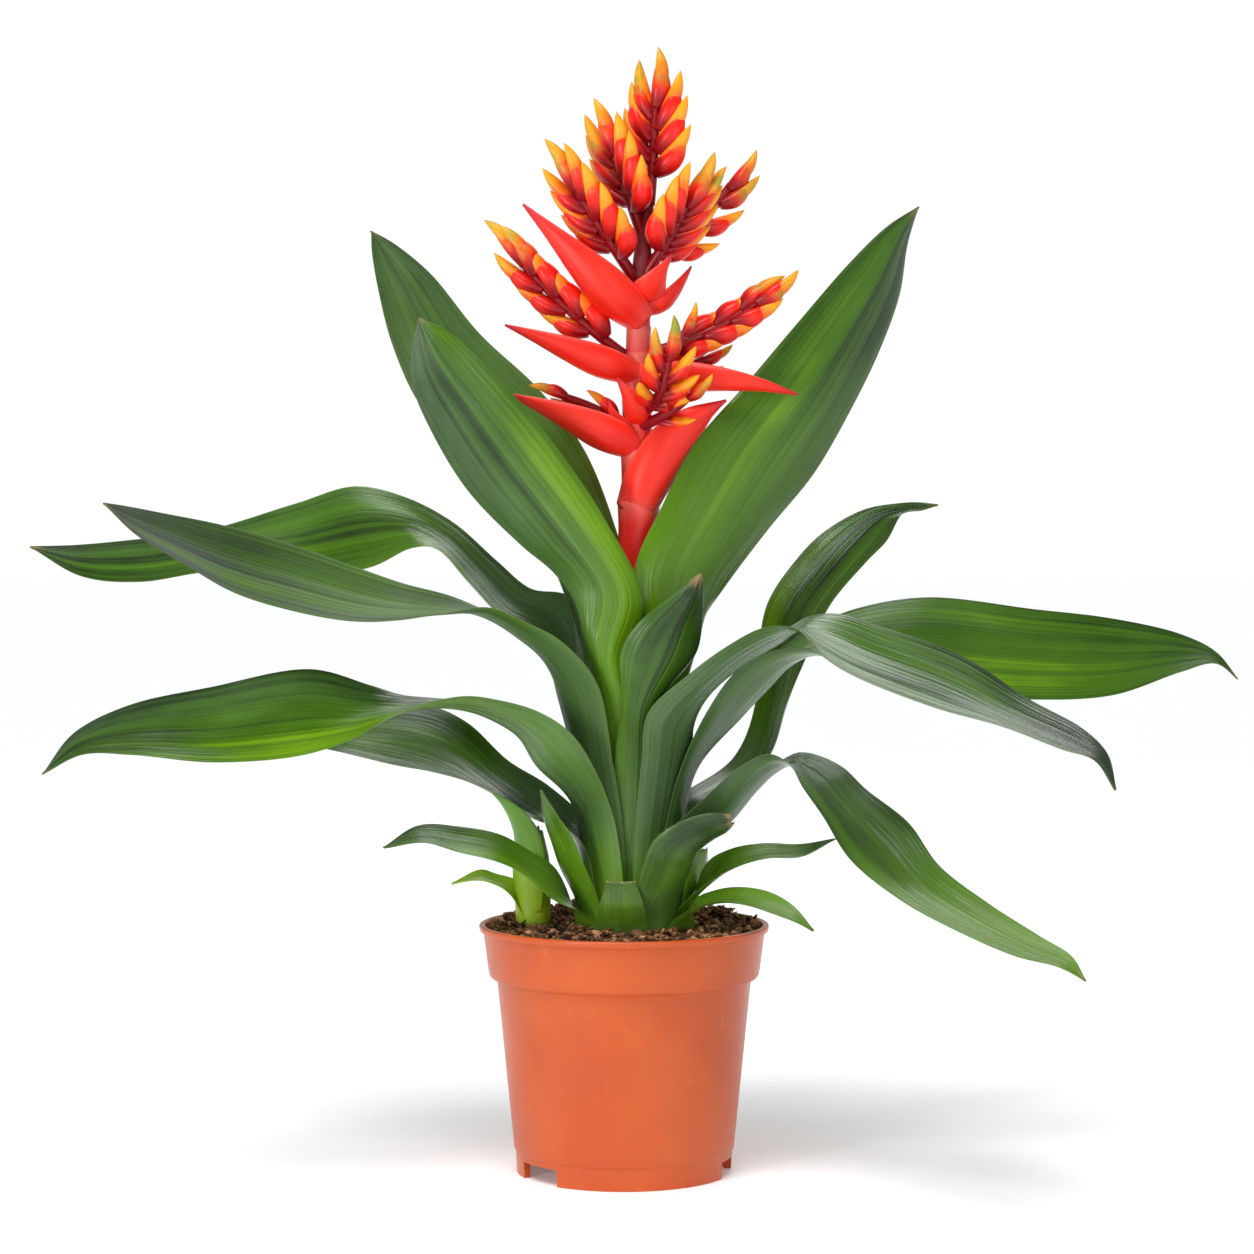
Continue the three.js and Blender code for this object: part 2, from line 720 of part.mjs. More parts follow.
// Share of the length, then of the width and of the hollow's depth
const BRACT_SHAPE = [
  [0, 0.62, 0.66],
  [0.14, 0.88, 0.92],
  [0.3, 1, 1],
  [0.52, 0.8, 0.74],
  [0.76, 0.44, 0.36],
  [1, 0.04, 0.02],
];
const BRACTS = [
  {
    name: "bract_top_left",
    line: [[8, 0, 381], [-16.9, -9, 405], [-44.3, -10, 430.5]],
    width: 21,
    hollow: 11.5,
    roll: 36,
  },
  {
    name: "bract_mid_left",
    line: [[6.5, 0, 357], [-23, -8, 367.5], [-52.5, -10, 377.5]],
    width: 16.5,
    hollow: 8.5,
    roll: 36,
  },
  {
    name: "bract_low_left",
    line: [[6.2, 0, 324], [-21.4, -9, 336.6], [-51.2, -12, 347]],
    width: 18.5,
    hollow: 9,
    roll: 40,
  },
  {
    name: "bract_low_right",
    blade: [
      [-2.9, 1.5, 300, 16.1, 1.5, 300, 11.2],
      [0.2, -5.5, 312, 21, -1.5, 306, 8],
      [4.4, -8, 320, 25.4, -1.5, 313.5, 7],
      [11, -9, 329.6, 30.3, -2, 322, 6],
      [18.9, -9.5, 336.4, 34.9, -2.5, 329.6, 5],
      [28.1, -9, 341, 38.6, -4, 336.4, 3.5],
      [36.8, -8, 343, 41.9, -5.5, 340.5, 1.6],
      [45, -7, 344.4, 45.1, -6.8, 344.2, 0.4],
    ],
  },
  {
    name: "bract_mid_right",
    line: [[7, 0, 357], [43, -12, 354.5], [76.6, -12, 346.8]],
    width: 16,
    hollow: 8,
    roll: -38,
  },
  {
    name: "bract_top_right",
    line: [[9, 0, 391], [13, -9, 397.5], [21, -15, 408]],
    width: 16,
    hollow: 5,
    roll: -8,
  },
  {
    name: "bract_behind",
    line: [[9, 1, 386], [20.5, 5, 394], [29.8, 6, 404.5]],
    width: 13,
    hollow: 6,
    roll: -20,
  },
  {
    name: "bract_front",
    line: [[8, -1, 337], [4.4, -13, 343], [-3.1, -15, 354]],
    width: 13,
    hollow: 4.5,
    roll: 40,
  },
  {
    name: "bract_small_left",
    line: [[5, 0, 329], [-2.7, -4, 335.6], [-6.7, -5, 344]],
    width: 9,
    hollow: 4,
    roll: 30,
  },
];

function bractRows({ line, width, hollow, roll }, grow) {
  const curve = bentLine(line);
  const columns = columnsFor(BRACT_SEGMENTS);
  return BRACT_SHAPE.map(([t, wide, deep]) => {
    const centre = curve.getPoint(t);
    const along = curve.getTangent(t);
    const side = new THREE.Vector3(0, 0, 1).cross(along).normalize();
    const inward = along.clone().cross(side).normalize();
    const turned = side.clone().multiplyScalar(Math.cos(radians(roll)));
    turned.addScaledVector(inward, Math.sin(radians(roll)));
    const outward = turned.clone().cross(along).normalize();
    const half = (width / 2) * wide + grow;
    const a = centre.clone().addScaledVector(turned, -half);
    const b = centre.clone().addScaledVector(turned, half);
    return columns.map((v) => arcPoint(a, b, outward, hollow * deep, v));
  });
}

// The rows of a bract that is given by its edges, each moved out by `grow`.
function claspingRows(blade, grow) {
  const columns = columnsFor(BRACT_SEGMENTS);
  const middles = blade.map(middleOf);
  return blade.map((row, i) => {
    const before = middles[Math.max(i - 1, 0)];
    const after = middles[Math.min(i + 1, middles.length - 1)];
    const a = vec(row.slice(0, 3));
    const b = vec(row.slice(3, 6));
    const wider = b.clone().sub(a).setLength(grow);
    const edges = [...a.sub(wider).toArray(), ...b.add(wider).toArray()];
    return bladeRow([...edges, row[6]], before, after, columns);
  });
}

function bractSolid(bract, grow) {
  const rows = bract.blade ? claspingRows(bract.blade, grow) : bractRows(bract, grow);
  return sheetSolid(rows, BRACT_STEP, BRACT_THICKNESS + 2 * grow);
}

// Flower spikes: two ranks of keeled bracts on a bent line, and a last one at the tip
//
// Inside each bract stands a longer and narrower bud.
//
// rank: the way that the second rank leans
// count, size: how many bracts, and how long they are
// spread: how far the bracts lean from the line, as a share of the usual lean

const RACHIS_SIDES = 3;
const RACHIS_RADIUS = 2.2;
const KEEL_HEIGHT = 0.44;
const KEELED_WIDTH = 0.47;
const KEEL_BOW = 0.07;
// Sections, as shares of the height and width: out towards the keel, then across
const BRACT_SECTION = [[0.58, 0], [-0.1, 0.5], [-0.36, 0], [-0.1, -0.5]];
const BUD_SECTION = [[0.58, 0], [-0.26, 0.5], [-0.26, -0.5]];
const BUD_LENGTH = 1.16;
const BUD_WIDTH = 0.64;
const BUD_RISE = 0.18;
const LEAN_AT_ROOT = 38;
const LEAN_AT_TIP = 14;
const RANK_OFFSET = 1.2;
// Share of the length, then of the width
const KEELED_SHAPE = [[0, 0.6], [0.45, 1], [0.98, 0.06]];
// Where the longest bract stands, as a share of the ranks, and how much shorter the others get
const LONGEST_AT = 0.4;
const SHORTENING = 0.12;
// The last bud ends at the line's tip, and the first stands off its root
const TIP_REACH = 0.93 * (BUD_RISE + BUD_LENGTH);
const BARE_ROOT = 0.2;
const BARE_SHARE = 0.35;
const RACHIS_PAST_LAST = 0.04;
const SPIKES = [
  {
    name: "spike_top",
    line: [[11, 0, 431], [13.7, -1, 465], [14.6, -1, 501.5]],
    rank: [0.9, -0.4, 0],
    count: 7,
    size: 22,
    spread: 1.05,
  },
  {
    name: "spike_upper_left",
    line: [[8.8, 0, 416], [-2.5, -4, 447], [-13.3, -5, 477.7]],
    rank: [0.6, -0.75, 0.25],
    count: 7,
    size: 22,
    spread: 1.05,
  },
  {
    name: "spike_outer_left",
    line: [[6.5, 0, 396], [-14.5, -12, 426.5], [-34.7, -16, 458.7]],
    rank: [0.6, -0.7, 0.35],
    count: 8,
    size: 21.5,
    spread: 1.05,
  },
  {
    name: "spike_upper_right",
    line: [[8, 0, 398], [25.5, -9, 426], [38.7, -14, 453.7]],
    rank: [0.65, 0.7, -0.3],
    count: 8,
    size: 22,
    spread: 1.1,
  },
  {
    name: "spike_back_right",
    line: [[8.5, 0, 404], [38, 10, 429], [57.8, 14, 458.8]],
    rank: [0.8, 0.2, -0.6],
    count: 6,
    size: 18.5,
    spread: 0.85,
  },
  {
    name: "spike_mid_left",
    line: [[6, 0, 360], [-34.5, -2, 394], [-60.4, -2, 425.6]],
    rank: [0.6, -0.4, 0.6],
    count: 8,
    size: 21.5,
    spread: 0.5,
  },
  {
    name: "spike_mid_right",
    line: [[6.5, 0, 364], [48.6, 4, 381], [75.3, 4, 405.7]],
    rank: [0.5, -0.3, -0.8],
    count: 7,
    size: 20,
    spread: 0.28,
  },
  {
    name: "spike_front",
    line: [[7, -2, 340], [17, -27, 350], [19.9, -36, 381]],
    rank: [1, 0, 0.1],
    count: 7,
    size: 17,
    spread: 1.2,
  },
  {
    name: "spike_small_right",
    line: [[6.5, -1, 350], [22.5, -6, 366], [29.5, -7, 388.5]],
    rank: [0.7, 0.1, -0.5],
    count: 2,
    size: 13,
    spread: 0.3,
  },
  {
    name: "spike_low_right",
    line: [[6.5, 2, 353], [33, 14, 362], [47.7, 18, 373.5]],
    rank: [0.6, 0.3, -0.6],
    count: 4,
    size: 14,
    spread: 0.8,
  },
  {
    name: "spike_low_left",
    line: [[5, 1, 330], [-19.6, 2, 343.6], [-43.1, 0, 349]],
    rank: [0, -0.4, 1],
    count: 3,
    size: 14.5,
    spread: 0.4,
  },
  {
    name: "spike_low_front",
    line: [[8, -4, 333], [27, -19, 344], [35.8, -24, 358.4]],
    rank: [0.8, 0.2, -0.5],
    count: 3,
    size: 14,
    spread: 0.8,
  },
];

// A keeled bract or bud: a closed boat of sections that bows out towards its keel.
function keeledSolid(section, root, along, keel, size, width, grow) {
  const flat = along.clone().cross(keel).normalize();
  const rings = KEELED_SHAPE.map(([t, scale]) => {
    return section.map(([out, wide]) => {
      const point = root.clone().addScaledVector(along, size * t);
      point.addScaledVector(keel, size * KEEL_BOW * 4 * t * (1 - t));
      point.addScaledVector(keel, (size * KEEL_HEIGHT * width * scale + grow) * out);
      return point.addScaledVector(flat, (size * KEELED_WIDTH * width * scale + grow) * wide);
    });
  });
  return loft(rings);
}

function rachisSolid(curve, end, rank, grow) {
  const rings = [0, 0.5, 1].map((t) => {
    const centre = curve.getPointAt(t * end);
    const along = curve.getTangentAt(t * end);
    const side = vec(rank).cross(along).normalize();
    const over = along.clone().cross(side).normalize();
    const radius = RACHIS_RADIUS - t + grow;
    return Array.from({ length: RACHIS_SIDES }, (_, j) => {
      const turn = (j * 2 * Math.PI) / RACHIS_SIDES;
      const point = centre.clone().addScaledVector(side, radius * Math.cos(turn));
      return point.addScaledVector(over, radius * Math.sin(turn));
    });
  });
  return loft(rings);
}

function spikeSolid({ line, rank, count, size, spread }, grow) {
  const curve = bentLine(line);
  const last = 1 - (size * TIP_REACH) / curve.getLength();
  const first = Math.min(BARE_ROOT, last * BARE_SHARE);
  const solids = [rachisSolid(curve, last + RACHIS_PAST_LAST, rank, grow)];
  for (let i = 0; i < count; i += 1) {
    const share = i / (count - 1);
    const t = first + (last - first) * share;
    const along = curve.getTangentAt(t);
    const out = vec(rank).addScaledVector(along, -vec(rank).dot(along)).normalize();
    const alternate = i % 2 === 0 ? 1 : -1;
    const side = i === count - 1 ? 0 : alternate;
    const lean = side * spread * radians(LEAN_AT_ROOT + (LEAN_AT_TIP - LEAN_AT_ROOT) * share);
    const length = size * (1 - SHORTENING * Math.abs(share - LONGEST_AT));
    const root = curve.getPointAt(t).addScaledVector(out, side * RANK_OFFSET);
    const aim = along.clone().multiplyScalar(Math.cos(lean)).addScaledVector(out, Math.sin(lean));
    const keel = out.clone().multiplyScalar(Math.cos(lean)).addScaledVector(along, -Math.sin(lean));
    const ways = [aim, keel.multiplyScalar(side < 0 ? -1 : 1)];
    const budRoot = root.clone().addScaledVector(along, length * BUD_RISE);
    solids.push(keeledSolid(BRACT_SECTION, root, ...ways, length, 1, grow));
    solids.push(keeledSolid(BUD_SECTION, budRoot, ...ways, length * BUD_LENGTH, BUD_WIDTH, grow));
  }
  return wasm.Manifold.union(solids);
}

// Offshoot: a young plant beside the main one, a short column with four leaves, grown as one
//
// Blade rows are measured from the offshoot's place, with the heights from the ground.

const OFFSHOOT_COLUMN = [[97.5, OFFSHOOT_RADIUS], [110, 7.5], [126, 8.4], [140, 7.4], [152, 4.5]];
const OFFSHOOT_SIDES = 10;
const OFFSHOOT_THICKNESS = 1;
const OFFSHOOT_LEAVES = [
  [
    [-7, 0, 116, 4, -7, 116, 3],
    [-9, -2, 134, 6, -10, 136, 4],
    [-8, -4, 149, 3.5, -12, 152, 4],
    [-10.5, -7, 159, -3, -14, 161.5, 3],
    [-14, -10, 165.5, -9, -14, 166, 1.5],
    [-17, -13, 169.8, -16.5, -13.5, 169.8, 0.4],
  ],
  [
    [2, 3, 116, -3, -7, 112, 2],
    [-6, 3, 128.5, -10, -7, 124, 2],
    [-17, 2, 132.5, -17, -7, 129, 2],
    [-23.5, 0, 134.5, -24.5, -8, 130.5, 1.5],
    [-36, -5, 129, -36.3, -5.5, 128.8, 0.4],
  ],
  [
    [1, -5, 124, 1, 5, 124, 2],
    [2.5, -4, 138, 2.5, 5, 138, 2],
    [2, 0, 154, 2, 1, 154, 0.4],
  ],
];

function offshootSolid() {
  const [x, y] = OFFSHOOT_PLACE;
  const column = OFFSHOOT_COLUMN.map(([z, radius]) => {
    return Array.from({ length: OFFSHOOT_SIDES }, (_, j) => {
      const azimuth = (j * 2 * Math.PI) / OFFSHOOT_SIDES;
      return new THREE.Vector3(x + radius * Math.cos(azimuth), y + radius * Math.sin(azimuth), z);
    });
  });
  const columns = columnsFor(SMALL_LEAF.segments);
  const leaves = OFFSHOOT_LEAVES.map((rows) => {
    const placed = rows.map((r) => [r[0] + x, r[1] + y, r[2], r[3] + x, r[4] + y, r[5], r[6]]);
    const middles = placed.map(middleOf);
    const points = placed.map((row, i) => {
      const before = middles[Math.max(i - 1, 0)];
      const after = middles[Math.min(i + 1, middles.length - 1)];
      return bladeRow(row, before, after, columns);
    });
    return sheetSolid(points, SMALL_LEAF.step, OFFSHOOT_THICKNESS);
  });
  return wasm.Manifold.union([loft(column), ...leaves]);
}

// Assembly

const plastic = finish(TERRACOTTA, 0.5);
const earth = finish(SOIL_BROWN, 0.95);
const leafFinish = finish(LEAF_GREEN, 0.4);
const youngFinish = finish(YOUNG_GREEN, 0.45);
const bractFinish = finish(BRACT_RED, 0.4);
const spikeFinish = finish(SPIKE_RED, 0.35);
const stalkFinish = finish(STALK_RED, 0.5);

const plant = new THREE.Group();
plant.add(meshFrom("pot", potSolid(), plastic));
plant.add(meshFrom("soil", soilSolid(), earth));
for (const leaf of LEAVES) {
  plant.add(meshFrom(leaf.name, leafSolid(leaf), leafFinish));
}
plant.add(meshFrom("offshoot_left", offshootSolid(), youngFinish));
plant.add(meshFrom("flower_stalk", stalkSolid(0), stalkFinish));

// Each flower part is cut clear of the parts that it grows from or lies against.
const taken = [stalkSolid(CLEARANCE)];
for (const bract of BRACTS) {
  const clear = taken.reduce((solid, other) => solid.subtract(other), bractSolid(bract, 0));
  plant.add(meshFrom(bract.name, largestBody(clear), bractFinish));
  taken.push(bractSolid(bract, CLEARANCE));
}
for (const spike of SPIKES) {
  const clear = taken.reduce((solid, other) => solid.subtract(other), spikeSolid(spike, 0));
  plant.add(meshFrom(spike.name, largestBody(clear), spikeFinish));
  taken.push(spikeSolid(spike, CLEARANCE));
}

export default plant;
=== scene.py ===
"""A flowering bromeliad in a plastic nursery pot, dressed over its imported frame.

Shapes are worked out in millimetres, +Z up, the front at -Y, and turned into metres as each mesh is made.
"""

import math

import bpy
import numpy as np
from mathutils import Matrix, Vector


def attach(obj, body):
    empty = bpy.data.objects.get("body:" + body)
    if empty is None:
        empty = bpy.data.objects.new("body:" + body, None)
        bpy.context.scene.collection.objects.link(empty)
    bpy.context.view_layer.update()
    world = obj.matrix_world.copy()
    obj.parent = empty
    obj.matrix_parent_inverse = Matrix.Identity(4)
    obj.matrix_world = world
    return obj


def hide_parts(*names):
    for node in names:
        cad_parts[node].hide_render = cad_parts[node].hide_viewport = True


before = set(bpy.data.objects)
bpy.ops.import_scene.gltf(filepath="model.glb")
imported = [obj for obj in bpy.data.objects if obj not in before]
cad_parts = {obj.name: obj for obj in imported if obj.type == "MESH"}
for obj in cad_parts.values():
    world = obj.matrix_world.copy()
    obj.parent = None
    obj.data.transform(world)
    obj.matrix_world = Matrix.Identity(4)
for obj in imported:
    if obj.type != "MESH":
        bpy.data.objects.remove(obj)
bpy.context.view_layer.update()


# Pot
# An injection-moulded nursery pot of terracotta polypropylene, in one piece: a thin rolled lip, a collar
# that pots stack by, a tapered body, a foot ring with three cut-outs and a floor with six drain holes.

MM = 0.001
POT_HEIGHT = 111
RIM_RADIUS = 65
COLLAR_TOP_RADIUS = 62.9
COLLAR_BOTTOM_RADIUS = 60.5
COLLAR_BOTTOM = 87
BODY_TOP_RADIUS = 56.8
BODY_BOTTOM_RADIUS = 49
FOOT_RADIUS = 48
FOOT_HEIGHT = 10
FLOOR_UNDERSIDE = 8
POT_WALL = 1.6
FLOOR_CENTRE_RADIUS = 4
NOTCH_AZIMUTHS = [-142, -12, 104]
NOTCH_SIZE = np.array([12, 24, 15])
DRAIN_COUNT = 6
DRAIN_RADIUS = 4
DRAIN_CIRCLE = 30
AROUND_DRAIN = 24
AROUND_POT = 192
CORNER_STEPS = 5
SHARP_ABOVE = 40

# Radius, height and how far before and after the corner its rounding starts
POT_OUTLINE = [
    [FLOOR_CENTRE_RADIUS, FLOOR_UNDERSIDE, 0],
    [FOOT_RADIUS - POT_WALL - 1.2, FLOOR_UNDERSIDE, 0.8],
    [FOOT_RADIUS - POT_WALL - 1.6, 0, 0.5],
    [FOOT_RADIUS, 0, 0.5],
    [FOOT_RADIUS + 0.5, FOOT_HEIGHT, 0.2],
    [BODY_BOTTOM_RADIUS + 0.2, FOOT_HEIGHT + 0.7, 0.5],
    [BODY_TOP_RADIUS, COLLAR_BOTTOM - 1, 0.7],
    [COLLAR_BOTTOM_RADIUS - 0.4, COLLAR_BOTTOM + 0.9, 0.9],
    [COLLAR_BOTTOM_RADIUS + 0.2, COLLAR_BOTTOM + 3.4, 1.2],
    [COLLAR_TOP_RADIUS, POT_HEIGHT - 3.7, 0.5],
    [RIM_RADIUS - 0.5, POT_HEIGHT - 2.9, 0.8],
    [RIM_RADIUS, POT_HEIGHT, 1.3],
    [COLLAR_TOP_RADIUS - POT_WALL + 1, POT_HEIGHT, 0.7],
    [COLLAR_TOP_RADIUS - POT_WALL, POT_HEIGHT - 3, 1],
    [COLLAR_BOTTOM_RADIUS - POT_WALL, COLLAR_BOTTOM + 1, 1],
    [BODY_TOP_RADIUS - POT_WALL, COLLAR_BOTTOM - 2, 1],
    [BODY_BOTTOM_RADIUS - POT_WALL, FLOOR_UNDERSIDE + POT_WALL, 1],
    [FLOOR_CENTRE_RADIUS, FLOOR_UNDERSIDE + POT_WALL, 0],
]


def rounded_outline(corners):
    """Each corner becomes a quadratic curve between the points `rounding` before and after it."""
    outline = []
    for i, (radius, height, rounding) in enumerate(corners):
        corner = np.array([radius, height], float)
        if rounding == 0:
            outline.append(corner[None])
            continue
        before = np.array(corners[i - 1][:2], float) - corner
        after = np.array(corners[i + 1][:2], float) - corner
        start = corner + before / np.linalg.norm(before) * rounding
        end = corner + after / np.linalg.norm(after) * rounding
        t = np.linspace(0, 1, CORNER_STEPS)[:, None]
        outline.append(start * (1 - t) ** 2 + corner * 2 * t * (1 - t) + end * t**2)
    return np.concatenate(outline)


def turned_rings(outline, around, axis=(0, 0)):
    """A ring for each outline point: x = axis + radius cos(turn), y = axis + radius sin(turn), z = height."""
    turn = np.linspace(0, 2 * np.pi, around, endpoint=False)
    radius, height = outline[:, :1], outline[:, 1:2]
    flat = np.ones_like(turn)
    return np.stack([axis[0] + radius * np.cos(turn), axis[1] + radius * np.sin(turn), height * flat], -1)


def solid_mesh(name, rings, material, **marks):
    """One mesh of closed bodies. `rings` is bodies x stations x points around x 3, in millimetres. Quads join
    each ring to the next and a flat face closes each end, turned outwards by the sign of the body's volume.
    Each mark is an array that fits the rings' points, kept as an attribute."""
    rings = rings if rings.ndim == 4 else rings[None]
    bodies, stations, around = rings.shape[:3]
    index = np.arange(bodies * stations * around).reshape(bodies, stations, around)
    beside = np.roll(index, -1, axis=2)
    quads = np.stack([index[:, :-1], beside[:, :-1], beside[:, 1:], index[:, 1:]], -1)
    points = rings.reshape(-1, 3)
    corners = points[quads.reshape(bodies, -1, 4)]
    across = np.cross(corners[:, :, 2] - corners[:, :, 0], corners[:, :, 3] - corners[:, :, 1])
    middle = rings.reshape(bodies, -1, 3).mean(1)[:, None]
    volume = ((corners.mean(2) - middle) * across).sum((1, 2))
    ends = [index[:, 0, ::-1], index[:, -1]]
    faces = []
    for body in range(bodies):
        turned = slice(None, None, 1 if volume[body] > 0 else -1)
        faces += quads[body].reshape(-1, 4)[:, turned].tolist()
        faces += [end[body][turned].tolist() for end in ends]
    mesh = bpy.data.meshes.new(name)
    mesh.from_pydata((points * MM).tolist(), [], faces)
    mesh.polygons.foreach_set("use_smooth", np.ones(len(faces), bool))
    for mark, values in marks.items():
        values = np.broadcast_to(values, rings.shape[:3]).astype(np.float32)
        mesh.attributes.new(mark, "FLOAT", "POINT").data.foreach_set("value", values.ravel())
    mesh.materials.append(material)
    piece = bpy.data.objects.new(name, mesh)
    bpy.context.scene.collection.objects.link(piece)
    return piece


class Shade:
    """A value in a material's node tree. Arithmetic on it adds Math nodes."""

    def __init__(self, tree, socket=None):
        self.tree = tree
        self.socket = socket

    def node(self, kind, settings, sockets, output=0):
        """Adds a node. Its settings are set first, then each socket gets a value or a link."""
        made = self.tree.nodes.new(kind)
        for name, value in settings.items():
            setattr(made, name, value)
        for key, value in sockets.items():
            if isinstance(value, Shade):
                self.tree.links.new(value.socket, made.inputs[key])
            else:
                made.inputs[key].default_value = value
        return Shade(self.tree, made.outputs[output] if made.outputs else None)

    def math(self, operation, *values):
        return self.node("ShaderNodeMath", {"operation": operation}, dict(enumerate(values)))

    def __add__(self, other):
        return self.math("ADD", self, other)

    def __sub__(self, other):
        return self.math("SUBTRACT", self, other)

    def __rsub__(self, other):
        return self.math("SUBTRACT", other, self)

    def __mul__(self, other):
        return self.math("MULTIPLY", self, other)

    __radd__ = __add__
    __rmul__ = __mul__

    def smooth(self, low, high):
        """0 below low, 1 above high, and an S-curve between them."""
        ease = {"interpolation_type": "SMOOTHSTEP"}
        return self.node("ShaderNodeMapRange", ease, {"Value": self, "From Min": low, "From Max": high})

    def tint(self, low, high):
        """The colour low where this is 0, and high where it is 1."""
        return self.node("ShaderNodeMix", {"data_type": "RGBA"}, {0: self, 6: low, 7: high}, 2)

    def mark(self, name):
        """A mark that the mesh carries."""
        return self.node("ShaderNodeAttribute", {"attribute_name": name}, {}, "Fac")

    def place(self):
        """Where the surface lies, in metres from the middle of the pot's foot."""
        return self.node("ShaderNodeTexCoord", {}, {}, "Object")

    def height(self):
        """How high the surface lies, in metres."""
        return self.node("ShaderNodeSeparateXYZ", {}, {"Vector": self.place()}, "Z")

    def vector(self, x, y, z):
        return self.node("ShaderNodeCombineXYZ", {}, {"X": x, "Y": y, "Z": z})

    def noise(self, vector, scale, detail=2.0):
        """Smooth noise about 0.5, so many lumps to a unit of the vector."""
        return self.node("ShaderNodeTexNoise", {}, {"Vector": vector, "Scale": scale, "Detail": detail})

    def bump(self, relief, strength, depth):
        """A normal that makes the relief look `depth` metres deep."""
        return self.node("ShaderNodeBump", {}, {"Strength": strength, "Distance": depth, "Height": relief})


def srgb(red, green, blue):
    """A colour picked on a screen, 0 to 255, as the linear colour that the nodes take."""
    parts = np.array([red, green, blue]) / 255
    linear = np.where(parts < 0.04045, parts / 12.92, ((parts + 0.055) / 1.055) ** 2.4)
    return (*linear.tolist(), 1.0)


def finish_material(name, paint):
    """A material whose Principled sockets are what `paint` returns for its node tree."""
    material = bpy.data.materials.new(name)
    material.use_nodes = True
    material.node_tree.nodes.clear()
    start = Shade(material.node_tree)
    surface = start.node("ShaderNodeBsdfPrincipled", {}, paint(start))
    start.node("ShaderNodeOutputMaterial", {}, {"Surface": surface})
    return material


def paint_pot(start):
    """Satin plastic: fine grain, faint cloudy flow marks and a dusting that dulls it here and there."""
    place = start.place()
    clouds = start.noise(place, 22.0, 3.0)
    dust = start.noise(place, 160.0, 4.0)
    grain = start.noise(place, 2600.0)
    colour = clouds.smooth(0.3, 0.75).tint(srgb(188, 76, 26), srgb(200, 88, 32))
    colour = (dust.smooth(0.62, 0.8) * 0.25).tint(colour, srgb(222, 122, 80))
    return {
        "Base Color": colour,
        "Roughness": 0.28 + dust * 0.14,
        "Specular IOR Level": 0.42,
        "Normal": start.bump(grain * 0.3 + clouds, 0.12, 0.0004),
    }


pot_plastic = finish_material("terracotta_plastic", paint_pot)
outline = rounded_outline(POT_OUTLINE)
pot = solid_mesh("pot_moulded", turned_rings(outline, AROUND_POT), pot_plastic)

# The cut-outs are boxes across the foot ring, and the drain holes are cylinders through the floor.
box_corners = np.array([[-1, -1], [1, -1], [1, 1], [-1, 1]]) / 2
box = np.stack([np.concatenate([box_corners, np.full((4, 1), z)], 1) for z in (-0.5, 0.5)]) * NOTCH_SIZE
notch_turn = np.radians(NOTCH_AZIMUTHS)[:, None, None]
reach = box[..., 0] + FOOT_RADIUS
notches = np.stack([
    reach * np.cos(notch_turn) - box[..., 1] * np.sin(notch_turn),
    reach * np.sin(notch_turn) + box[..., 1] * np.cos(notch_turn),
    np.broadcast_to(box[..., 2], (len(NOTCH_AZIMUTHS), *reach.shape)),
], -1)
drain_turn = np.linspace(0, 2 * np.pi, DRAIN_COUNT, endpoint=False)
drain_outline = np.array([[DRAIN_RADIUS, FLOOR_UNDERSIDE - 3], [DRAIN_RADIUS, FLOOR_UNDERSIDE + 4]], float)
drains = np.stack([
    turned_rings(drain_outline, AROUND_DRAIN, (DRAIN_CIRCLE * math.cos(turn), DRAIN_CIRCLE * math.sin(turn)))
    for turn in drain_turn
])
for name, cutter_rings in (("notches", notches), ("drains", drains)):
    cutter = solid_mesh(name, cutter_rings, pot_plastic)
    cut = pot.modifiers.new(name, "BOOLEAN")
    cut.object = cutter
    cut.solver = "EXACT"
    shape = bpy.data.meshes.new_from_object(pot.evaluated_get(bpy.context.evaluated_depsgraph_get()))
    pot.modifiers.clear()
    pot.data = shape
    bpy.data.objects.remove(cutter)
pot.data.name = "pot_moulded"
pot.data.set_sharp_from_angle(angle=math.radians(SHARP_ABOVE))
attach(pot, "root")
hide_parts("pot")


# Soil
# Damp potting mix of composted bark and peat, filled to just under the lip. Its top is a lumpy bed strewn
# with loose bark chips, heaped a little higher at the back. The plants stand in it, with the chips kept clear
# of their stems.

SOIL_TOP = 106.5
SOIL_BUMP = 1.6
CLEARANCE = 0.35
AROUND_SOIL = 160
SOIL_RINGS = 70
PLANT_X = 4
OFFSHOOT_PLACE = [-41, 6]


def soil_height(x, y):
    """The soil's top: two products of waves, as the solid has, and finer waves for the crumbs."""
    coarse = np.sin(x * 0.31 + 1.3) * np.cos(y * 0.27 - 0.4)
    fine = np.sin(x * 0.83 - y * 0.61 + 2.1) * np.cos(y * 0.77 + x * 0.22)
    crumbs = np.sin(x * 1.9 + 2 * np.sin(y * 0.7)) * np.sin(y * 2.3 + 2 * np.cos(x * 0.9))
    return SOIL_TOP + SOIL_BUMP * (0.6 * coarse + 0.5 * fine + 0.25 * crumbs)


def paint_soil(start):
    """Dark peat and brown bark. The mark `tone` lightens each chip, and clods and specks vary it."""
    place = start.place()
    tone = start.mark("tone")
    clods = start.noise(place, 420.0, 4.0)
    specks = start.noise(place, 1500.0, 3.0)
    mixed = tone + (clods - 0.5) * 0.9 + (specks - 0.5) * 0.6
    dark = mixed.smooth(0.05, 0.5).tint(srgb(38, 24, 14), srgb(124, 84, 54))
    colour = mixed.smooth(0.5, 1.0).tint(dark, srgb(204, 152, 106))
    return {
        "Base Color": colour,
        "Roughness": 0.95 - tone * 0.15,
        "Specular IOR Level": 0.3,
        "Normal": start.bump(clods + specks, 0.8, 0.0008),
    }


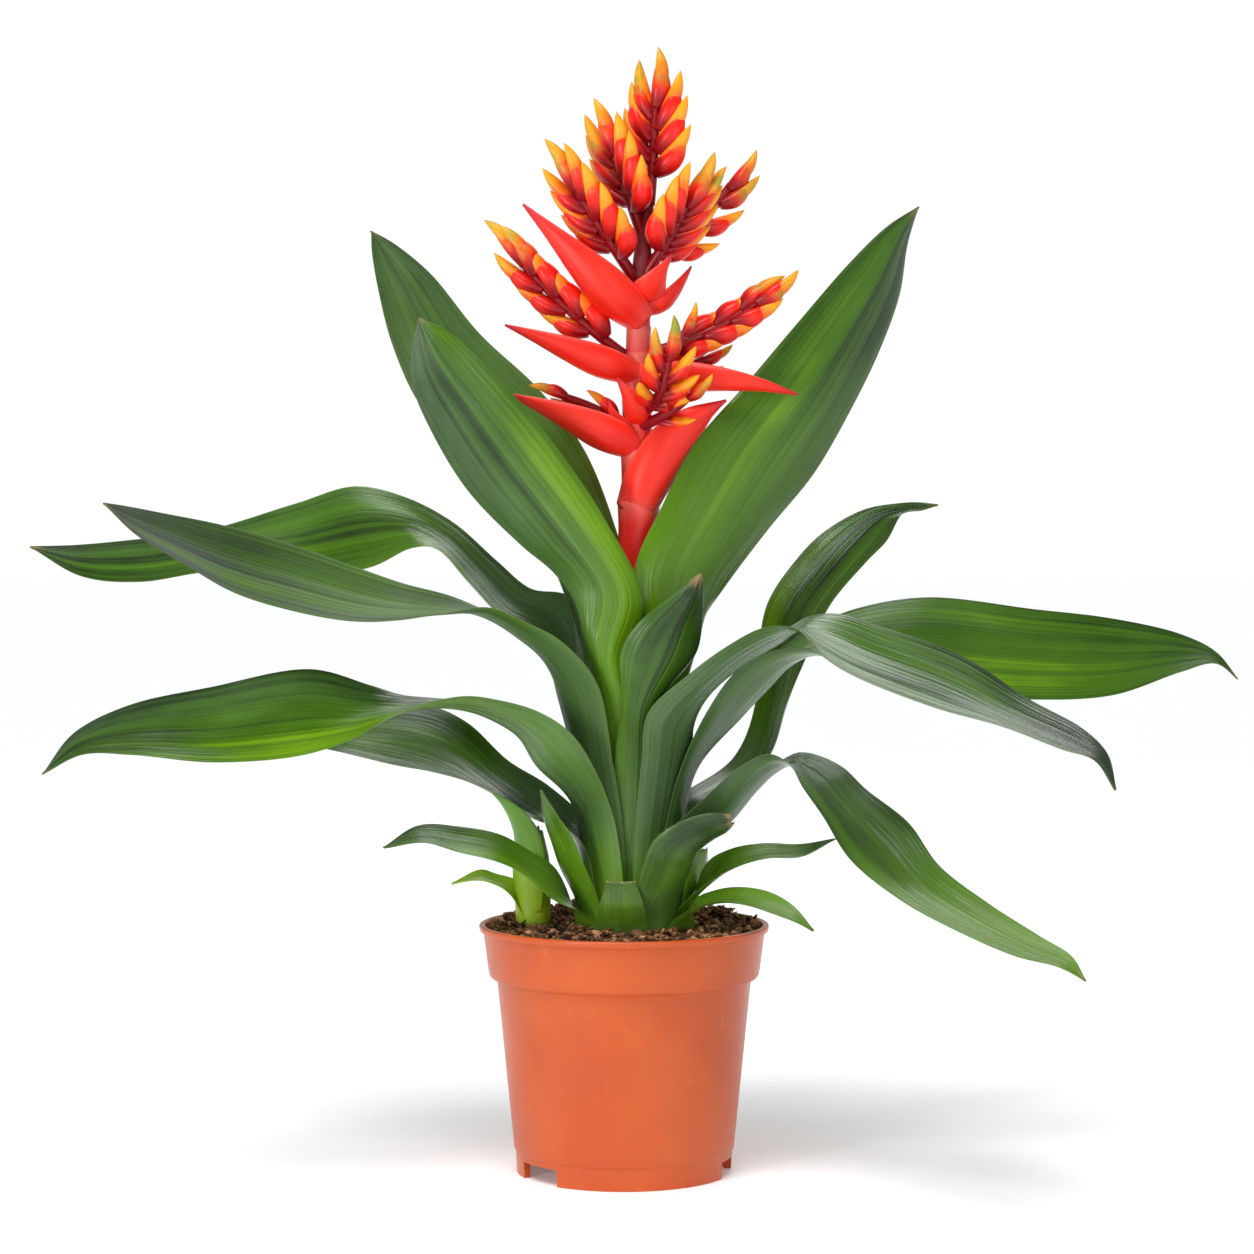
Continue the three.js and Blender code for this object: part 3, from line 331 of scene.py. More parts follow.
bark = finish_material("bark_and_peat", paint_soil)
soil_floor = FLOOR_UNDERSIDE + POT_WALL + CLEARANCE
soil_sides = np.array([
    [FLOOR_CENTRE_RADIUS, soil_floor],
    [BODY_BOTTOM_RADIUS - POT_WALL - CLEARANCE, soil_floor],
    [BODY_TOP_RADIUS - POT_WALL - CLEARANCE - 0.2, COLLAR_BOTTOM - 2],
    [COLLAR_BOTTOM_RADIUS - POT_WALL - CLEARANCE - 0.2, COLLAR_BOTTOM + 1.6],
])
top_radii = np.linspace(COLLAR_TOP_RADIUS - POT_WALL - CLEARANCE - 0.5, 1, SOIL_RINGS)
top_outline = np.stack([top_radii, np.full(SOIL_RINGS, float(SOIL_TOP))], -1)
soil_rings = turned_rings(np.concatenate([soil_sides, top_outline]), AROUND_SOIL)
top = soil_rings[len(soil_sides):]
top[..., 2] = soil_height(top[..., 0], top[..., 1])
soil = solid_mesh("soil_bed", soil_rings, bark, tone=0.2)
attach(soil, "root")
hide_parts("soil")

CHIP_COUNT = 4800
CHIP_AROUND = 6
# The middle length, the spread of its logarithm and the longest length
CHIP_LENGTH = 3.4
CHIP_SPREAD = 0.45
CHIP_LONGEST = 6.5
# How high the chips heap up, how much more at the back, and how far back that is reached
CHIP_HEAP = 4.2
BACK_HEAP = 3.4
BACK_HEAP_FROM = 40
# They lie within this radius, and clear of the plant and of the offshoot
CHIP_EDGE = 59.4
BARE_RADIUS = 24
OFFSHOOT_BARE_RADIUS = 8
draw = np.random.default_rng(5)


def scattered(count, edge, bare):
    """Places spread evenly over the soil within `edge` of the pot's axis and clear of the plants' stems."""
    turn = draw.uniform(0, 2 * np.pi, count * 3)
    radius = edge * np.sqrt(draw.uniform(0, 1, count * 3))
    x, y = radius * np.cos(turn), radius * np.sin(turn)
    clear = np.hypot(x - PLANT_X, y) > bare
    clear &= np.hypot(x - OFFSHOOT_PLACE[0], y - OFFSHOOT_PLACE[1]) > OFFSHOOT_BARE_RADIUS
    return x[clear][:count], y[clear][:count]


def turned_about(points, yaw, tilt, roll):
    """Points of each body turned by roll about X, tilt about Y and then yaw about Z."""
    x, y, z = points[..., 0], points[..., 1], points[..., 2]
    yaw, tilt, roll = (angle.reshape(-1, 1, 1) for angle in (yaw, tilt, roll))
    y, z = y * np.cos(roll) - z * np.sin(roll), y * np.sin(roll) + z * np.cos(roll)
    x, z = x * np.cos(tilt) + z * np.sin(tilt), z * np.cos(tilt) - x * np.sin(tilt)
    x, y = x * np.cos(yaw) - y * np.sin(yaw), x * np.sin(yaw) + y * np.cos(yaw)
    return np.stack([x, y, z], -1)


chip_x, chip_y = scattered(CHIP_COUNT, CHIP_EDGE, BARE_RADIUS)
chips = len(chip_x)
length = np.minimum(CHIP_LENGTH * np.exp(draw.normal(0, CHIP_SPREAD, chips)), CHIP_LONGEST)
width = length * draw.uniform(0.35, 0.75, chips)
depth = width * draw.uniform(0.25, 0.6, chips)
turn = np.linspace(0, 2 * np.pi, CHIP_AROUND, endpoint=False)
ragged = 1 + draw.normal(0, 0.16, (chips, 3, CHIP_AROUND))
swell = np.array([0.6, 1, 0.7])[:, None] * ragged
chip = np.stack([
    swell * np.cos(turn) * length[:, None, None] / 2,
    swell * np.sin(turn) * width[:, None, None] / 2,
    np.broadcast_to(np.array([-0.5, 0, 0.5])[:, None], swell.shape) * depth[:, None, None],
], -1)
tilts = draw.normal(0, 0.42, (2, chips))
chip = turned_about(chip, draw.uniform(0, 2 * np.pi, chips), *tilts)
chip_z = soil_height(chip_x, chip_y) + depth * 0.3 + CHIP_HEAP * draw.uniform(0, 1, chips) ** 1.5
chip_z += BACK_HEAP * np.clip(chip_y / BACK_HEAP_FROM, 0, 1)
chip += np.stack([chip_x, chip_y, chip_z], -1)[:, None, None]
tone = draw.beta(2.0, 2.2, chips)[:, None, None]
loose_bark = solid_mesh("bark_chips", chip, bark, tone=tone)
loose_bark.data.polygons.foreach_set("use_smooth", np.zeros(len(loose_bark.data.polygons), bool))
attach(loose_bark, "root")


# Leaves
# Strap leaves of a tank rosette, one grown piece each. Every leaf starts as a sheath that wraps the stem
# below the soil, then opens into an arching blade with a hollow midrib, parallel veins and a waxy skin.

SHEATH_BOTTOM = 97.5
INNER_SHEATH_RADIUS = 9.7
SHEATH_PITCH = 1.95
SHEATH_FLARE = 0.9
LEAF_THICKNESS = 0.7
LEAF_COLUMNS = 27
LEAF_STEP = 2.6
VEIN_RELIEF = 0.008

# ring: how far out the sheath wraps, 0 innermost
# facing: azimuth of the midrib at the base, degrees from +X
# sheath: height and half angle of the wrap, degrees
# blade: back or left edge x, y, z, then front or right edge x, y, z, then the hollow's depth
# fold: how far the blade's hollow is a V instead of an arc, and how much painted shade lies along its crease
# light, bloom: how bright its green is, and how much grey it has, partly a waxy coat and partly painted
# sheen, for the whole blade or from edge to edge
# glow: how much painted glow, light shining through the leaf, brightens its lower half. lime: how
# yellow-green its foot is. matte: how dull its skin is
# dry: share of the length that is brown at the tip
LEAVES = [
    {
        "name": "leaf_tall_left_back", "ring": 0, "facing": 165,
        "sheath": [[97.5, 72], [150, 66], [200, 54], [232, 46]],
        "light": [0.55, 0.75], "bloom_and_sheen": [0.8, 1.2], "fold": 0.5,
        "blade": [
            [3.5, 26, 259.5, -28.5, -6, 263.5, 9],
            [-3.5, 30, 286.5, -42, -2, 291, 7],
            [-18, 34, 323, -69, 8, 318, 7],
            [-38.5, 38, 350.5, -92, 18, 343, 7],
            [-66.5, 42, 377, -105, 26, 370.5, 6],
            [-89, 46, 404.5, -112, 34, 396, 4],
            [-106, 48, 418.5, -115.5, 42, 414, 2],
            [-116, 46, 424, -116, 45, 424, 0.4],
        ],
    },
    {
        "name": "leaf_tall_right", "ring": 0, "facing": -23,
        "sheath": [[97.5, 75], [150, 68], [200, 56]],
        "light": [0.6, 0.5], "bloom_and_sheen": [0.1, 0.35], "glow": 1,
        "blade": [
            [7, -20, 238.5, 33, 18, 242, 12],
            [4.5, -20, 269, 43.5, 14, 258.5, 9],
            [17, -13, 298, 65, 16, 287, 9],
            [31.5, -7, 325.5, 85.5, 18, 312, 8],
            [54, 0, 351.5, 102, 22, 340, 8],
            [78.5, 6, 380.5, 116, 26, 368.5, 6],
            [101.5, 12, 407, 125, 28, 393.5, 4],
            [118.5, 18, 423.5, 128.5, 28, 416, 2],
            [133, 24, 433, 133, 25, 433, 0.4],
        ],
    },
    {
        "name": "leaf_tall_left_front", "ring": 1, "facing": 242,
        "sheath": [[97.5, 62], [150, 54], [200, 38]],
        "light": [0.5, 0.75], "bloom_and_sheen": [1.2, 0.0], "glow": 0.8, "fold": 0.5,
        "blade": [
            [-20.5, -22, 251.5, 0.5, -28, 226.5, 8],
            [-30, -22, 267, 8.5, -24, 255.5, 9],
            [-45.5, -26, 280.5, -8, -30, 291, 8],
            [-68, -34, 304, -27.5, -38, 320.5, 7],
            [-84, -42, 331, -50, -48, 348, 6],
            [-91, -46, 349, -65.5, -54, 364, 5],
            [-91, -50, 364, -77, -56, 373, 3],
            [-87.5, -55, 377.5, -87, -55.5, 377.5, 0.4],
        ],
    },
    {
        "name": "leaf_upper_back", "ring": 1, "facing": 80,
        "sheath": [[97.5, 60], [150, 48], [190, 34]],
        "light": 0.35, "bloom_and_sheen": 0.5,
        "blade": [
            [22, 44, 216, -8, 46, 216, 8],
            [24, 66, 229, -16, 68, 229, 7],
            [24, 92, 231, -18, 94, 231, 6],
            [22, 118, 220, -16, 120, 220, 5],
            [16, 138, 200, -8, 140, 200, 4],
            [4, 149, 178, 3, 149, 178, 0.4],
        ],
    },
    {
        "name": "leaf_short_front", "ring": 2, "facing": -83,
        "sheath": [[97.5, 60], [150, 46], [190, 26]],
        "light": [0.5, 0.45], "bloom_and_sheen": [0.2, 0.0], "glow": 0.4, "dry": 0.02,
        "blade": [
            [-1, -31, 212.5, 15.5, -27, 211, 6],
            [-1.5, -38, 234, 32, -24, 233.5, 8],
            [7, -42, 247.5, 34.5, -26, 251, 7],
            [21, -42, 258.5, 34.5, -32, 259.5, 4],
            [32.5, -38, 268, 33.5, -37, 268, 0.4],
        ],
    },
    {
        "name": "leaf_mid_left_back", "ring": 2, "facing": 146,
        "sheath": [[97.5, 48], [150, 42], [195, 30]],
        "light": [0.35, 0.7], "bloom_and_sheen": [0.3, 0.0],
        "blade": [
            [-24, 36, 255.5, -38, 9, 230.5, 8],
            [-43, 40, 260, -57, 6, 250, 7],
            [-58.5, 46, 272.5, -71, 10, 265, 6],
            [-78.5, 50, 290, -84.5, 16, 278.5, 5],
            [-101.5, 56, 302, -96, 20, 278.5, 4],
            [-125, 60, 307, -114.5, 28, 270, 4],
            [-153.5, 66, 299, -146, 38, 265, 3],
            [-196.5, 74, 286.5, -189, 50, 267.5, 2],
            [-233, 82, 282, -225.5, 62, 262.5, 2],
            [-262, 90, 279.5, -256.5, 80, 265, 1],
            [-283, 95, 279, -282.5, 94, 278.5, 0.4],
        ],
    },
    {
        "name": "leaf_mid_right_front", "ring": 3, "facing": -32,
        "sheath": [[97.5, 60], [150, 56], [185, 50]],
        "light": [0.4, 0.4], "bloom_and_sheen": [0.6, 0.25],
        "blade": [
            [10.5, -36, 207.5, 27, 2, 207, 13],
            [26.5, -40, 223, 34, -2, 219, 10],
            [43.5, -44, 236, 51, -5, 230, 7],
            [60.5, -50, 245, 68.5, -10, 240.5, 6],
            [74, -56, 244.5, 81, -14, 248.5, 3],
            [83.5, -66, 234, 95.5, -26, 250, 3],
            [95.5, -74, 226, 111.5, -36, 245, 3],
            [130, -86, 212.5, 145, -52, 233, 3],
            [158, -98, 205, 171.5, -68, 215.5, 3],
            [180.5, -108, 196.5, 192, -86, 204, 2],
            [193, -114, 192.5, 200.5, -100, 194.5, 1],
            [200.5, -120, 181, 201.5, -119, 181, 0.4],
        ],
    },
    {
        "name": "leaf_mid_left_front", "ring": 3, "facing": 208,
        "sheath": [[97.5, 52], [150, 50], [185, 42]],
        "light": [0.35, 0.5], "bloom_and_sheen": [0.1, 0.0], "matte": 0.35,
        "blade": [
            [-28.5, 0, 213.5, -12, -35, 220.5, 8],
            [-30.5, -3, 232.5, -27.5, -43, 239, 9],
            [-44.5, -2, 243, -42.5, -44, 247, 6.5],
            [-61.5, -3, 251, -58.5, -46, 253.5, 4],
            [-77.5, 0, 257.5, -77, -44, 251, 3],
            [-97.5, -6, 263, -96.5, -48, 248, 3],
            [-116, -10, 269.5, -115.5, -52, 247.5, 3],
            [-145, -18, 280, -138.5, -58, 251.5, 3],
            [-175, -30, 289, -165.5, -64, 260, 3],
            [-198, -44, 294, -188, -70, 273.5, 2],
            [-212, -56, 297, -206.5, -72, 285, 1],
            [-219.5, -74, 298.5, -219, -75, 298, 0.4],
        ],
    },
    {
        "name": "leaf_mid_right_back", "ring": 4, "facing": 0,
        "sheath": [[97.5, 60], [150, 52], [180, 44]],
        "light": [0.6, 0.45], "bloom_and_sheen": [0.0, 0.1],
        "blade": [
            [36.5, -20, 207, 50.5, 30, 209.5, 10],
            [51, -16, 226, 62, 30, 224, 12],
            [68, -12, 234, 73.5, 30, 234.5, 9],
            [84.5, -9, 233.5, 85.5, 32, 242, 7],
            [101.5, -6, 223.5, 103, 34, 250, 5],
            [134.5, 2, 214.5, 137.5, 36, 256, 4],
            [184.5, 10, 210.5, 188, 38, 250.5, 4],
            [221.5, 20, 212, 225, 44, 246, 3],
            [254.5, 32, 222, 257.5, 48, 238.5, 2],
            [271.5, 38, 225.5, 273, 46, 230.5, 1],
            [282, 40, 218.5, 282, 41, 218.5, 0.4],
        ],
    },
    {
        "name": "leaf_lower_back", "ring": 4, "facing": 110,
        "sheath": [[97.5, 45], [140, 40], [165, 34]],
        "light": 0.3, "bloom_and_sheen": 0.4,
        "blade": [
            [4, 46, 186, -20, 41, 186, 7],
            [6, 70, 198, -22, 65, 198, 6],
            [7, 96, 198, -22, 91, 198, 5],
            [5, 120, 184, -18, 116, 184, 4],
            [-1, 136, 164, -14, 134, 164, 2],
            [-7, 144, 146, -8, 144, 146, 0.4],
        ],
    },
    {
        "name": "leaf_low_left_front", "ring": 5, "facing": 205,
        "sheath": [[97.5, 58], [140, 52], [165, 44]],
        "light": [0.4, 0.65], "bloom_and_sheen": [0.5, 0.0],
        "blade": [
            [-34, 6, 187, -22, -44, 198, 14],
            [-45.5, 0, 201, -37, -46, 208.5, 10],
            [-58.5, -6, 208.5, -56, -48, 214, 7],
            [-71.5, -12, 211.5, -69, -52, 215.5, 5],
            [-85.5, -18, 213, -85.5, -56, 212.5, 3],
            [-97.5, -22, 214.5, -99, -60, 207.5, 3],
            [-111, -28, 219, -114.5, -64, 198.5, 3],
            [-136, -38, 226.5, -136, -72, 191.5, 4],
            [-177.5, -54, 219.5, -172.5, -86, 189.5, 3],
            [-209, -74, 213, -204.5, -98, 193.5, 2],
            [-229.5, -90, 202.5, -224, -104, 194, 1],
            [-239.5, -110, 186.5, -239, -109.5, 186.5, 0.4],
        ],
    },
    {
        "name": "leaf_back_right", "ring": 5, "facing": 42,
        "sheath": [[97.5, 50], [135, 42], [155, 32]],
        "light": [0.6, 0.55], "bloom_and_sheen": [0.0, 0.0],
        "blade": [
            [66, 34, 183, 51, 64, 180.5, 5],
            [75, 46, 207, 61.5, 80, 203.5, 5],
            [85, 54, 229, 63.5, 84, 230, 5],
            [95.5, 62, 251, 68, 90, 252, 5],
            [113.5, 74, 271.5, 82, 98, 272.5, 5],
            [124, 84, 281.5, 94.5, 102, 285, 4],
            [131.5, 94, 293.5, 115, 108, 296.5, 3],
            [135.5, 100, 295.5, 131.5, 106, 299.5, 2],
            [142.5, 106, 296, 141, 110, 300, 1],
            [150.5, 110, 298.5, 151, 110.5, 299, 0.4],
        ],
    },
    {
        "name": "leaf_low_left_back", "ring": 6, "facing": 168,
        "sheath": [[97.5, 66], [130, 56], [150, 40]],
        "light": [0.4, 0.5], "bloom_and_sheen": [0.0, 0.2],
        "blade": [
            [-34, 28, 170, -42.5, -8, 161.5, 8],
            [-53, 32, 181.5, -64.5, 0, 172.5, 6],
            [-72, 38, 198.5, -85, 6, 178, 5],
            [-89.5, 42, 206, -103, 10, 181, 4],
            [-117, 46, 206, -128.5, 16, 186.5, 3],
            [-145, 48, 200, -152.5, 30, 190, 2],
            [-174, 42, 192, -173.5, 41, 192, 0.4],
        ],
    },
    {
        "name": "leaf_low_right", "ring": 6, "facing": -20,
        "sheath": [[97.5, 72], [130, 60], [148, 46]],
        "light": [0.38, 0.3], "bloom_and_sheen": [0.05, 0.5],
        "blade": [
            [34, -38, 169.5, 39.5, 8, 163, 13],
            [49.5, -44, 184, 55.5, 0, 177, 10],
            [62, -50, 190.5, 68.5, -8, 184, 6],
            [71, -58, 186.5, 78.5, -18, 189, 3],
            [76, -66, 177.5, 94.5, -30, 184, 3],
            [84, -74, 166, 105, -40, 174.5, 3],
            [95, -86, 148.5, 122, -56, 161.5, 4],
            [114.5, -102, 133.5, 133.5, -74, 145, 4],
            [134, -120, 124, 152, -96, 131.5, 3],
            [158, -138, 115, 171, -120, 120.5, 2],
            [174, -148, 112, 181, -138, 115, 1],
            [184.5, -150, 107, 185, -149.5, 107, 0.4],
        ],
    },
    {
        "name": "leaf_inner_left", "ring": 7, "facing": 200,
        "sheath": [[97.5, 40], [118, 36]],
        "light": [0.5, 0.8], "bloom_and_sheen": [0.6, 0.05], "glow": 0.6,
        "blade": [
            [-28, 2, 138.5, -18.5, -28, 142.5, 5],
            [-32, -6, 149, -22, -28, 151.5, 4],
            [-35.5, -14, 162.5, -29, -30, 162, 3],
            [-36.5, -26, 173, -36, -26.5, 173, 0.4],
        ],
    },
    {
        "name": "leaf_pale_right", "ring": 7, "facing": -4,
        "sheath": [[97.5, 28], [118, 25]],
        "light": 0.85, "bloom_and_sheen": 0.1,
        "blade": [
            [28, -11, 135, 36, 9, 133, 4],
            [30.5, -9, 142, 37, 7, 141, 3],
            [35, -5, 145, 37, 1, 145, 1],
        ],
    },
    {
        "name": "leaf_small_left", "ring": 8, "facing": 206,
        "sheath": [[97.5, 26], [114, 22]],
        "light": [0.5, 0.75], "bloom_and_sheen": [0.3, 0.0], "glow": 0.6,
        "blade": [
            [-30.5, -8, 136.5, -31, -36, 126, 4],
            [-41.5, -12, 144.5, -42, -38, 136.5, 4],
            [-54.5, -18, 152.5, -54.5, -44, 143, 3],
            [-72, -28, 157, -71.5, -50, 148, 3],
            [-89.5, -38, 158.5, -86, -54, 152.5, 2],
            [-104, -50, 150, -103.5, -49.5, 149.5, 0.4],
        ],
    },
    {
        "name": "leaf_level_right", "ring": 8, "facing": -25,
        "sheath": [[97.5, 24], [116, 22]],
        "light": [0.75, 0.65], "bloom_and_sheen": [0.05, 0.3], "glow": 0.6,
        "blade": [
            [38.5, -28, 133.5, 36.5, -10, 139, 4],
            [50, -32, 140, 47, -12, 145.5, 3],
            [62.5, -36, 144, 61, -16, 148.5, 2.5],
            [77.5, -38, 145, 77.5, -24, 149, 2],
            [92, -34, 152.5, 92.5, -33.5, 152.5, 0.4],
        ],
    },
    {
        "name": "leaf_stub_right", "ring": 9, "facing": -72,
        "sheath": [[97.5, 22], [116, 22]],
        "light": [0.4, 0.5], "bloom_and_sheen": [0.4, 0.1], "glow": 0.3, "dry": 0.015, "lime": 0.3,
        "blade": [
            [7.5, -38, 138, 29, -22, 138, 8],
            [13.5, -46, 153.5, 34, -26, 150, 9],
            [28.5, -50, 163, 41, -26, 156, 8],
            [40.5, -54, 165.5, 47, -36, 159.5, 6],
            [46, -52, 164.5, 48, -42, 160.5, 3],
        ],
    },
    {
        "name": "leaf_over_rim", "ring": 10, "facing": -41,
        "sheath": [[97.5, 20], [112, 19]],
        "light": [0.4, 0.65], "bloom_and_sheen": [0.05, 0.15], "glow": 0.6,
        "blade": [
            [32, -36, 123, 31, -20, 124, 3],
            [41, -42, 126, 40.5, -22, 128.5, 3],
            [52.5, -48, 125, 51.5, -28, 130.5, 2.5],
            [65.5, -52, 121, 63.5, -34, 129, 2],
            [74, -54, 118, 73.5, -42, 124, 1],
            [81.5, -52, 114, 82, -51.5, 114.5, 0.4],
        ],
    },
    {
        "name": "leaf_scale_front", "ring": 10, "facing": -102,
        "sheath": [[97.5, 24], [110, 25]],
        "light": 0.45, "bloom_and_sheen": 0.1, "lime": 0.5,
        "blade": [
            [-11, -33.5, 122, 9, -35, 122, 2.5],
            [-8, -35.5, 134, 5, -36.5, 134, 1.5],
        ],
    },
]
# What a leaf has where its entry says nothing else
PLAIN_LEAF = {"fold": 0.3, "glow": 0.15, "lime": 1, "matte": 0, "dry": 0}
# Where light and bloom start and end their change across the blade
CHANGE_ACROSS = [-0.5, 0.3]


def unit(vectors):
    """Vectors of length 1."""
    return vectors / np.maximum(np.linalg.norm(vectors, axis=-1, keepdims=True), 1e-9)


def sheath_radius(ring, z):
    """Rings lie SHEATH_PITCH apart and widen with the square of the height."""
    rise = (z - SHEATH_BOTTOM) / 100
    return (INNER_SHEATH_RADIUS + ring * SHEATH_PITCH) * (1 + SHEATH_FLARE * rise**2)


def sheath_row(ring, facing, level, across):
    """An arc about the plant's axis at one height, `half wrap` to each side of the way that it faces."""
    z, half_wrap = level
    azimuth = np.radians(facing + across * half_wrap)
    radius = sheath_radius(ring, z)
    x, y = PLANT_X + radius * np.cos(azimuth), radius * np.sin(azimuth)
    return np.stack([x, y, np.full_like(across, z)], -1)


def hollow_row(a, b, outward, hollow, across, fold):
    """Points across from edge a to edge b on a circle's arc that bulges outward by `hollow`. The fold mixes
    in a V of the same depth."""
    half = (b - a) / 2
    bend = 2 * math.atan(max(hollow, 0.02) / np.linalg.norm(half))
    reach = np.sin(across * bend) / math.sin(bend)
    depth = (np.cos(across * bend) - math.cos(bend)) / (1 - math.cos(bend))
    depth = depth * (1 - fold) + (1 - np.abs(across)) * fold
    return (a + b) / 2 + half * reach[:, None] + outward * hollow * depth[:, None]


def blade_rows(blade, across, fold, before=None):
    """A hollow row for each blade row. It bulges at a right angle to its width and to the line through the
    rows' middles, which starts at the point `before` or else at the first row."""
    first, second, hollows = blade[:, :3], blade[:, 3:6], blade[:, 6]
    middles = (first + second) / 2
    line = np.concatenate([middles[:1] if before is None else [before], middles, middles[-1:]])
    outward = unit(np.cross(second - first, unit(line[2:] - line[:-2])))
    return [hollow_row(*row, across, fold) for row in zip(first, second, outward, hollows)]


def smooth_through(rows, shares):
    """Centripetal Catmull-Rom curves down the columns of `rows`, at shares from 0, the first row, to 1, the
    last. Knots lie apart by the square root of the points' distance, and the ends go on straight."""
    rows = np.concatenate([2 * rows[:1] - rows[1:2], rows, 2 * rows[-1:] - rows[-2:-1]])
    place = shares * (len(rows) - 3)
    start = np.minimum(place.astype(int), len(rows) - 4)
    w = (place - start)[:, None, None]
    p0, p1, p2, p3 = (rows[start + k] for k in range(4))
    gaps = [np.sqrt(np.linalg.norm(q - p, axis=-1, keepdims=True)) for p, q in ((p0, p1), (p1, p2), (p2, p3))]
    d0, d1, d2 = (np.maximum(gap, 1e-2) for gap in gaps)
    leave = d1 * ((p1 - p0) / d0 - (p2 - p0) / (d0 + d1)) + p2 - p1
    arrive = p2 - p1 + d1 * ((p3 - p2) / d2 - (p3 - p1) / (d1 + d2))
    bend = 3 * (p2 - p1) - 2 * leave - arrive
    return p1 + leave * w + bend * w**2 + (2 * (p1 - p2) + leave + arrive) * w**3


def sheet_grid(rows, step):
    """Curves through the rows, with stations about `step` apart along the middle one."""
    rows = np.array(rows)
    fine = np.linspace(0, 1, 40 * len(rows))
    middle = smooth_through(rows, fine)[:, rows.shape[1] // 2]
    run = np.concatenate([[0], np.cumsum(np.linalg.norm(np.diff(middle, axis=0), axis=1))])
    even = np.linspace(0, run[-1], max(round(run[-1] / step), 8) + 1)
    return smooth_through(rows, np.interp(even, run, fine))


def sheet_rings(grid, across, thickness, relief):
    """Rings round a thin sheet, out along its inner face and back along its outer one. It thins to nothing at
    the edges as a fourth-power ellipse, and `relief` lifts both faces together."""
    normal = unit(np.cross(np.gradient(grid, axis=0), np.gradient(grid, axis=1)))
    grid = grid + normal * relief[..., None]
    lift = normal * (thickness / 2 * np.sqrt(1 - across**4))[:, None]
    return np.concatenate([grid + lift, (grid - lift)[:, -2:0:-1]], 1)


def column_marks(across):
    """For each point round a sheet: its place across, and its face, 1 inner, -1 outer and 0 on the edge."""
    inner = np.ones_like(across)
    inner[[0, -1]] = 0
    back = across[-2:0:-1]
    return np.concatenate([across, back]), np.concatenate([inner, -np.ones_like(back)])


def vein_relief(grid, across, seed):
    """Low lengthwise folds: two sets of waves across the blade that drift slowly along it, none at the edges.
    Their height is a share of the blade's width."""
    along = np.linspace(0, 1, len(grid))[:, None]
    width = np.linalg.norm(grid[:, -1] - grid[:, 0], axis=-1)[:, None]
    drift = 0.6 * np.sin(4 * along + seed)
    waves = np.sin(6 * across + drift + seed) + 0.5 * np.sin(14 * across - 2 * drift + 2 * seed)
    return VEIN_RELIEF * width * waves * (1 - across**2) * np.sin(np.pi * along) ** 0.5


def paint_leaf(start):
    """Waxy green skin, with painted shade towards the tip, along the crease and on its upright part, and a
    painted glow of light shining through its lower half. `level` adds bands, blotches, lines and veins to the
    leaf's own light, all of them lengthwise. Grey lies over it: a waxy coat on its outer face, and partly
    that coat and partly painted sheen where its bloom mark asks for it and on its upright part. The foot is
    yellow-green, the margins pale and a dry tip brown."""
    height = start.height()
    across, along, face = start.mark("across"), start.mark("along"), start.mark("face")
    light, bloom_and_sheen, fold, lime = (start.mark(name) for name in ("light", "bloom_and_sheen", "fold", "lime"))
    lit, dry, matte, seed = (start.mark(name) for name in ("glow", "dry", "matte", "seed"))
    bands = start.noise(start.vector(across * 1.7, along * 1.2, seed), 1.0, 1.0).smooth(0.35, 0.65)
    lines = start.noise(start.vector(across * 11.0, along * 1.2, seed), 1.0, 2.0).smooth(0.3, 0.7)
    veins = start.noise(start.vector(across * 48.0, along * 2.0, seed), 1.0, 2.0)
    blotch = start.noise(start.vector(across * 1.2, along * 7.0, seed), 1.0, 3.0)
    outer = 1 - face.smooth(-0.3, 0.3)
    # Painted glow of light shining through the leaf, on its lower half, as strong as its glow mark
    glow = lit * along.smooth(0.12, 0.36) * (1 - along.smooth(0.4, 0.75))
    # Painted shade along the midrib's crease, as strong as the fold mark
    crease = fold * (1 - (across * across).smooth(0.0, 0.012))
    # The upright part above the foot, which gets painted shade and a grey that is partly a waxy coat, partly
    # painted sheen
    riser = (1 - lit) * along.smooth(0.08, 0.2) * (1 - along.smooth(0.36, 0.5))
    # Painted shade: darker towards the tip, along the crease and on the upright part
    shade = along.smooth(0.65, 1.0) * 0.3 + crease * 0.5 + riser * 0.12
    level = light - shade + (bands - 0.5) * 0.3 + (blotch - 0.5) * 0.6
    level = level + (lines - 0.5) * 0.2 + (veins - 0.5) * 0.4
    green = level.smooth(0.0, 0.6).tint(srgb(16, 36, 4), srgb(58, 98, 5))
    green = level.smooth(0.5, 1.1).tint(green, srgb(112, 156, 12))
    # The painted glow turns the green lime
    green = (glow * light).tint(green, srgb(98, 146, 4))
    # Grey over the green: a waxy coat on the outer face, and partly that coat, partly painted sheen, where
    # the bloom mark and the upright part add it
    wax_and_sheen = bloom_and_sheen * (lines * 0.25 + blotch - 0.2) + outer * (1 - lit) * 0.15 + riser * (0.3 + blotch * 0.4)
    colour = (wax_and_sheen * (1 - glow * 0.4)).tint(green, srgb(88, 116, 76))
    foot = 1 - (height + (lines - 0.5) * 0.012).smooth(0.108, 0.165)
    colour = (foot * lime * 0.7).tint(colour, srgb(106, 150, 30))
    edge = (across * across).smooth(0.975, 1.0)
    colour = (edge * 0.45).tint(colour, srgb(140, 150, 84))
    tip = (along - (1 - dry) + (lines - 0.5) * 0.03).smooth(-0.012, 0.012)
    colour = tip.tint(colour, srgb(156, 128, 84))
    relief = veins * 0.8 + lines * 0.6
    return {
        "Base Color": colour,
        "Roughness": 0.25 + matte - lines * 0.1 + (veins - 0.5) * 0.25 + tip * 0.3 + (blotch - 0.5) * 0.25,
        "Specular IOR Level": 0.32,
        "Normal": start.bump(relief, 0.35, 0.0007),
    }


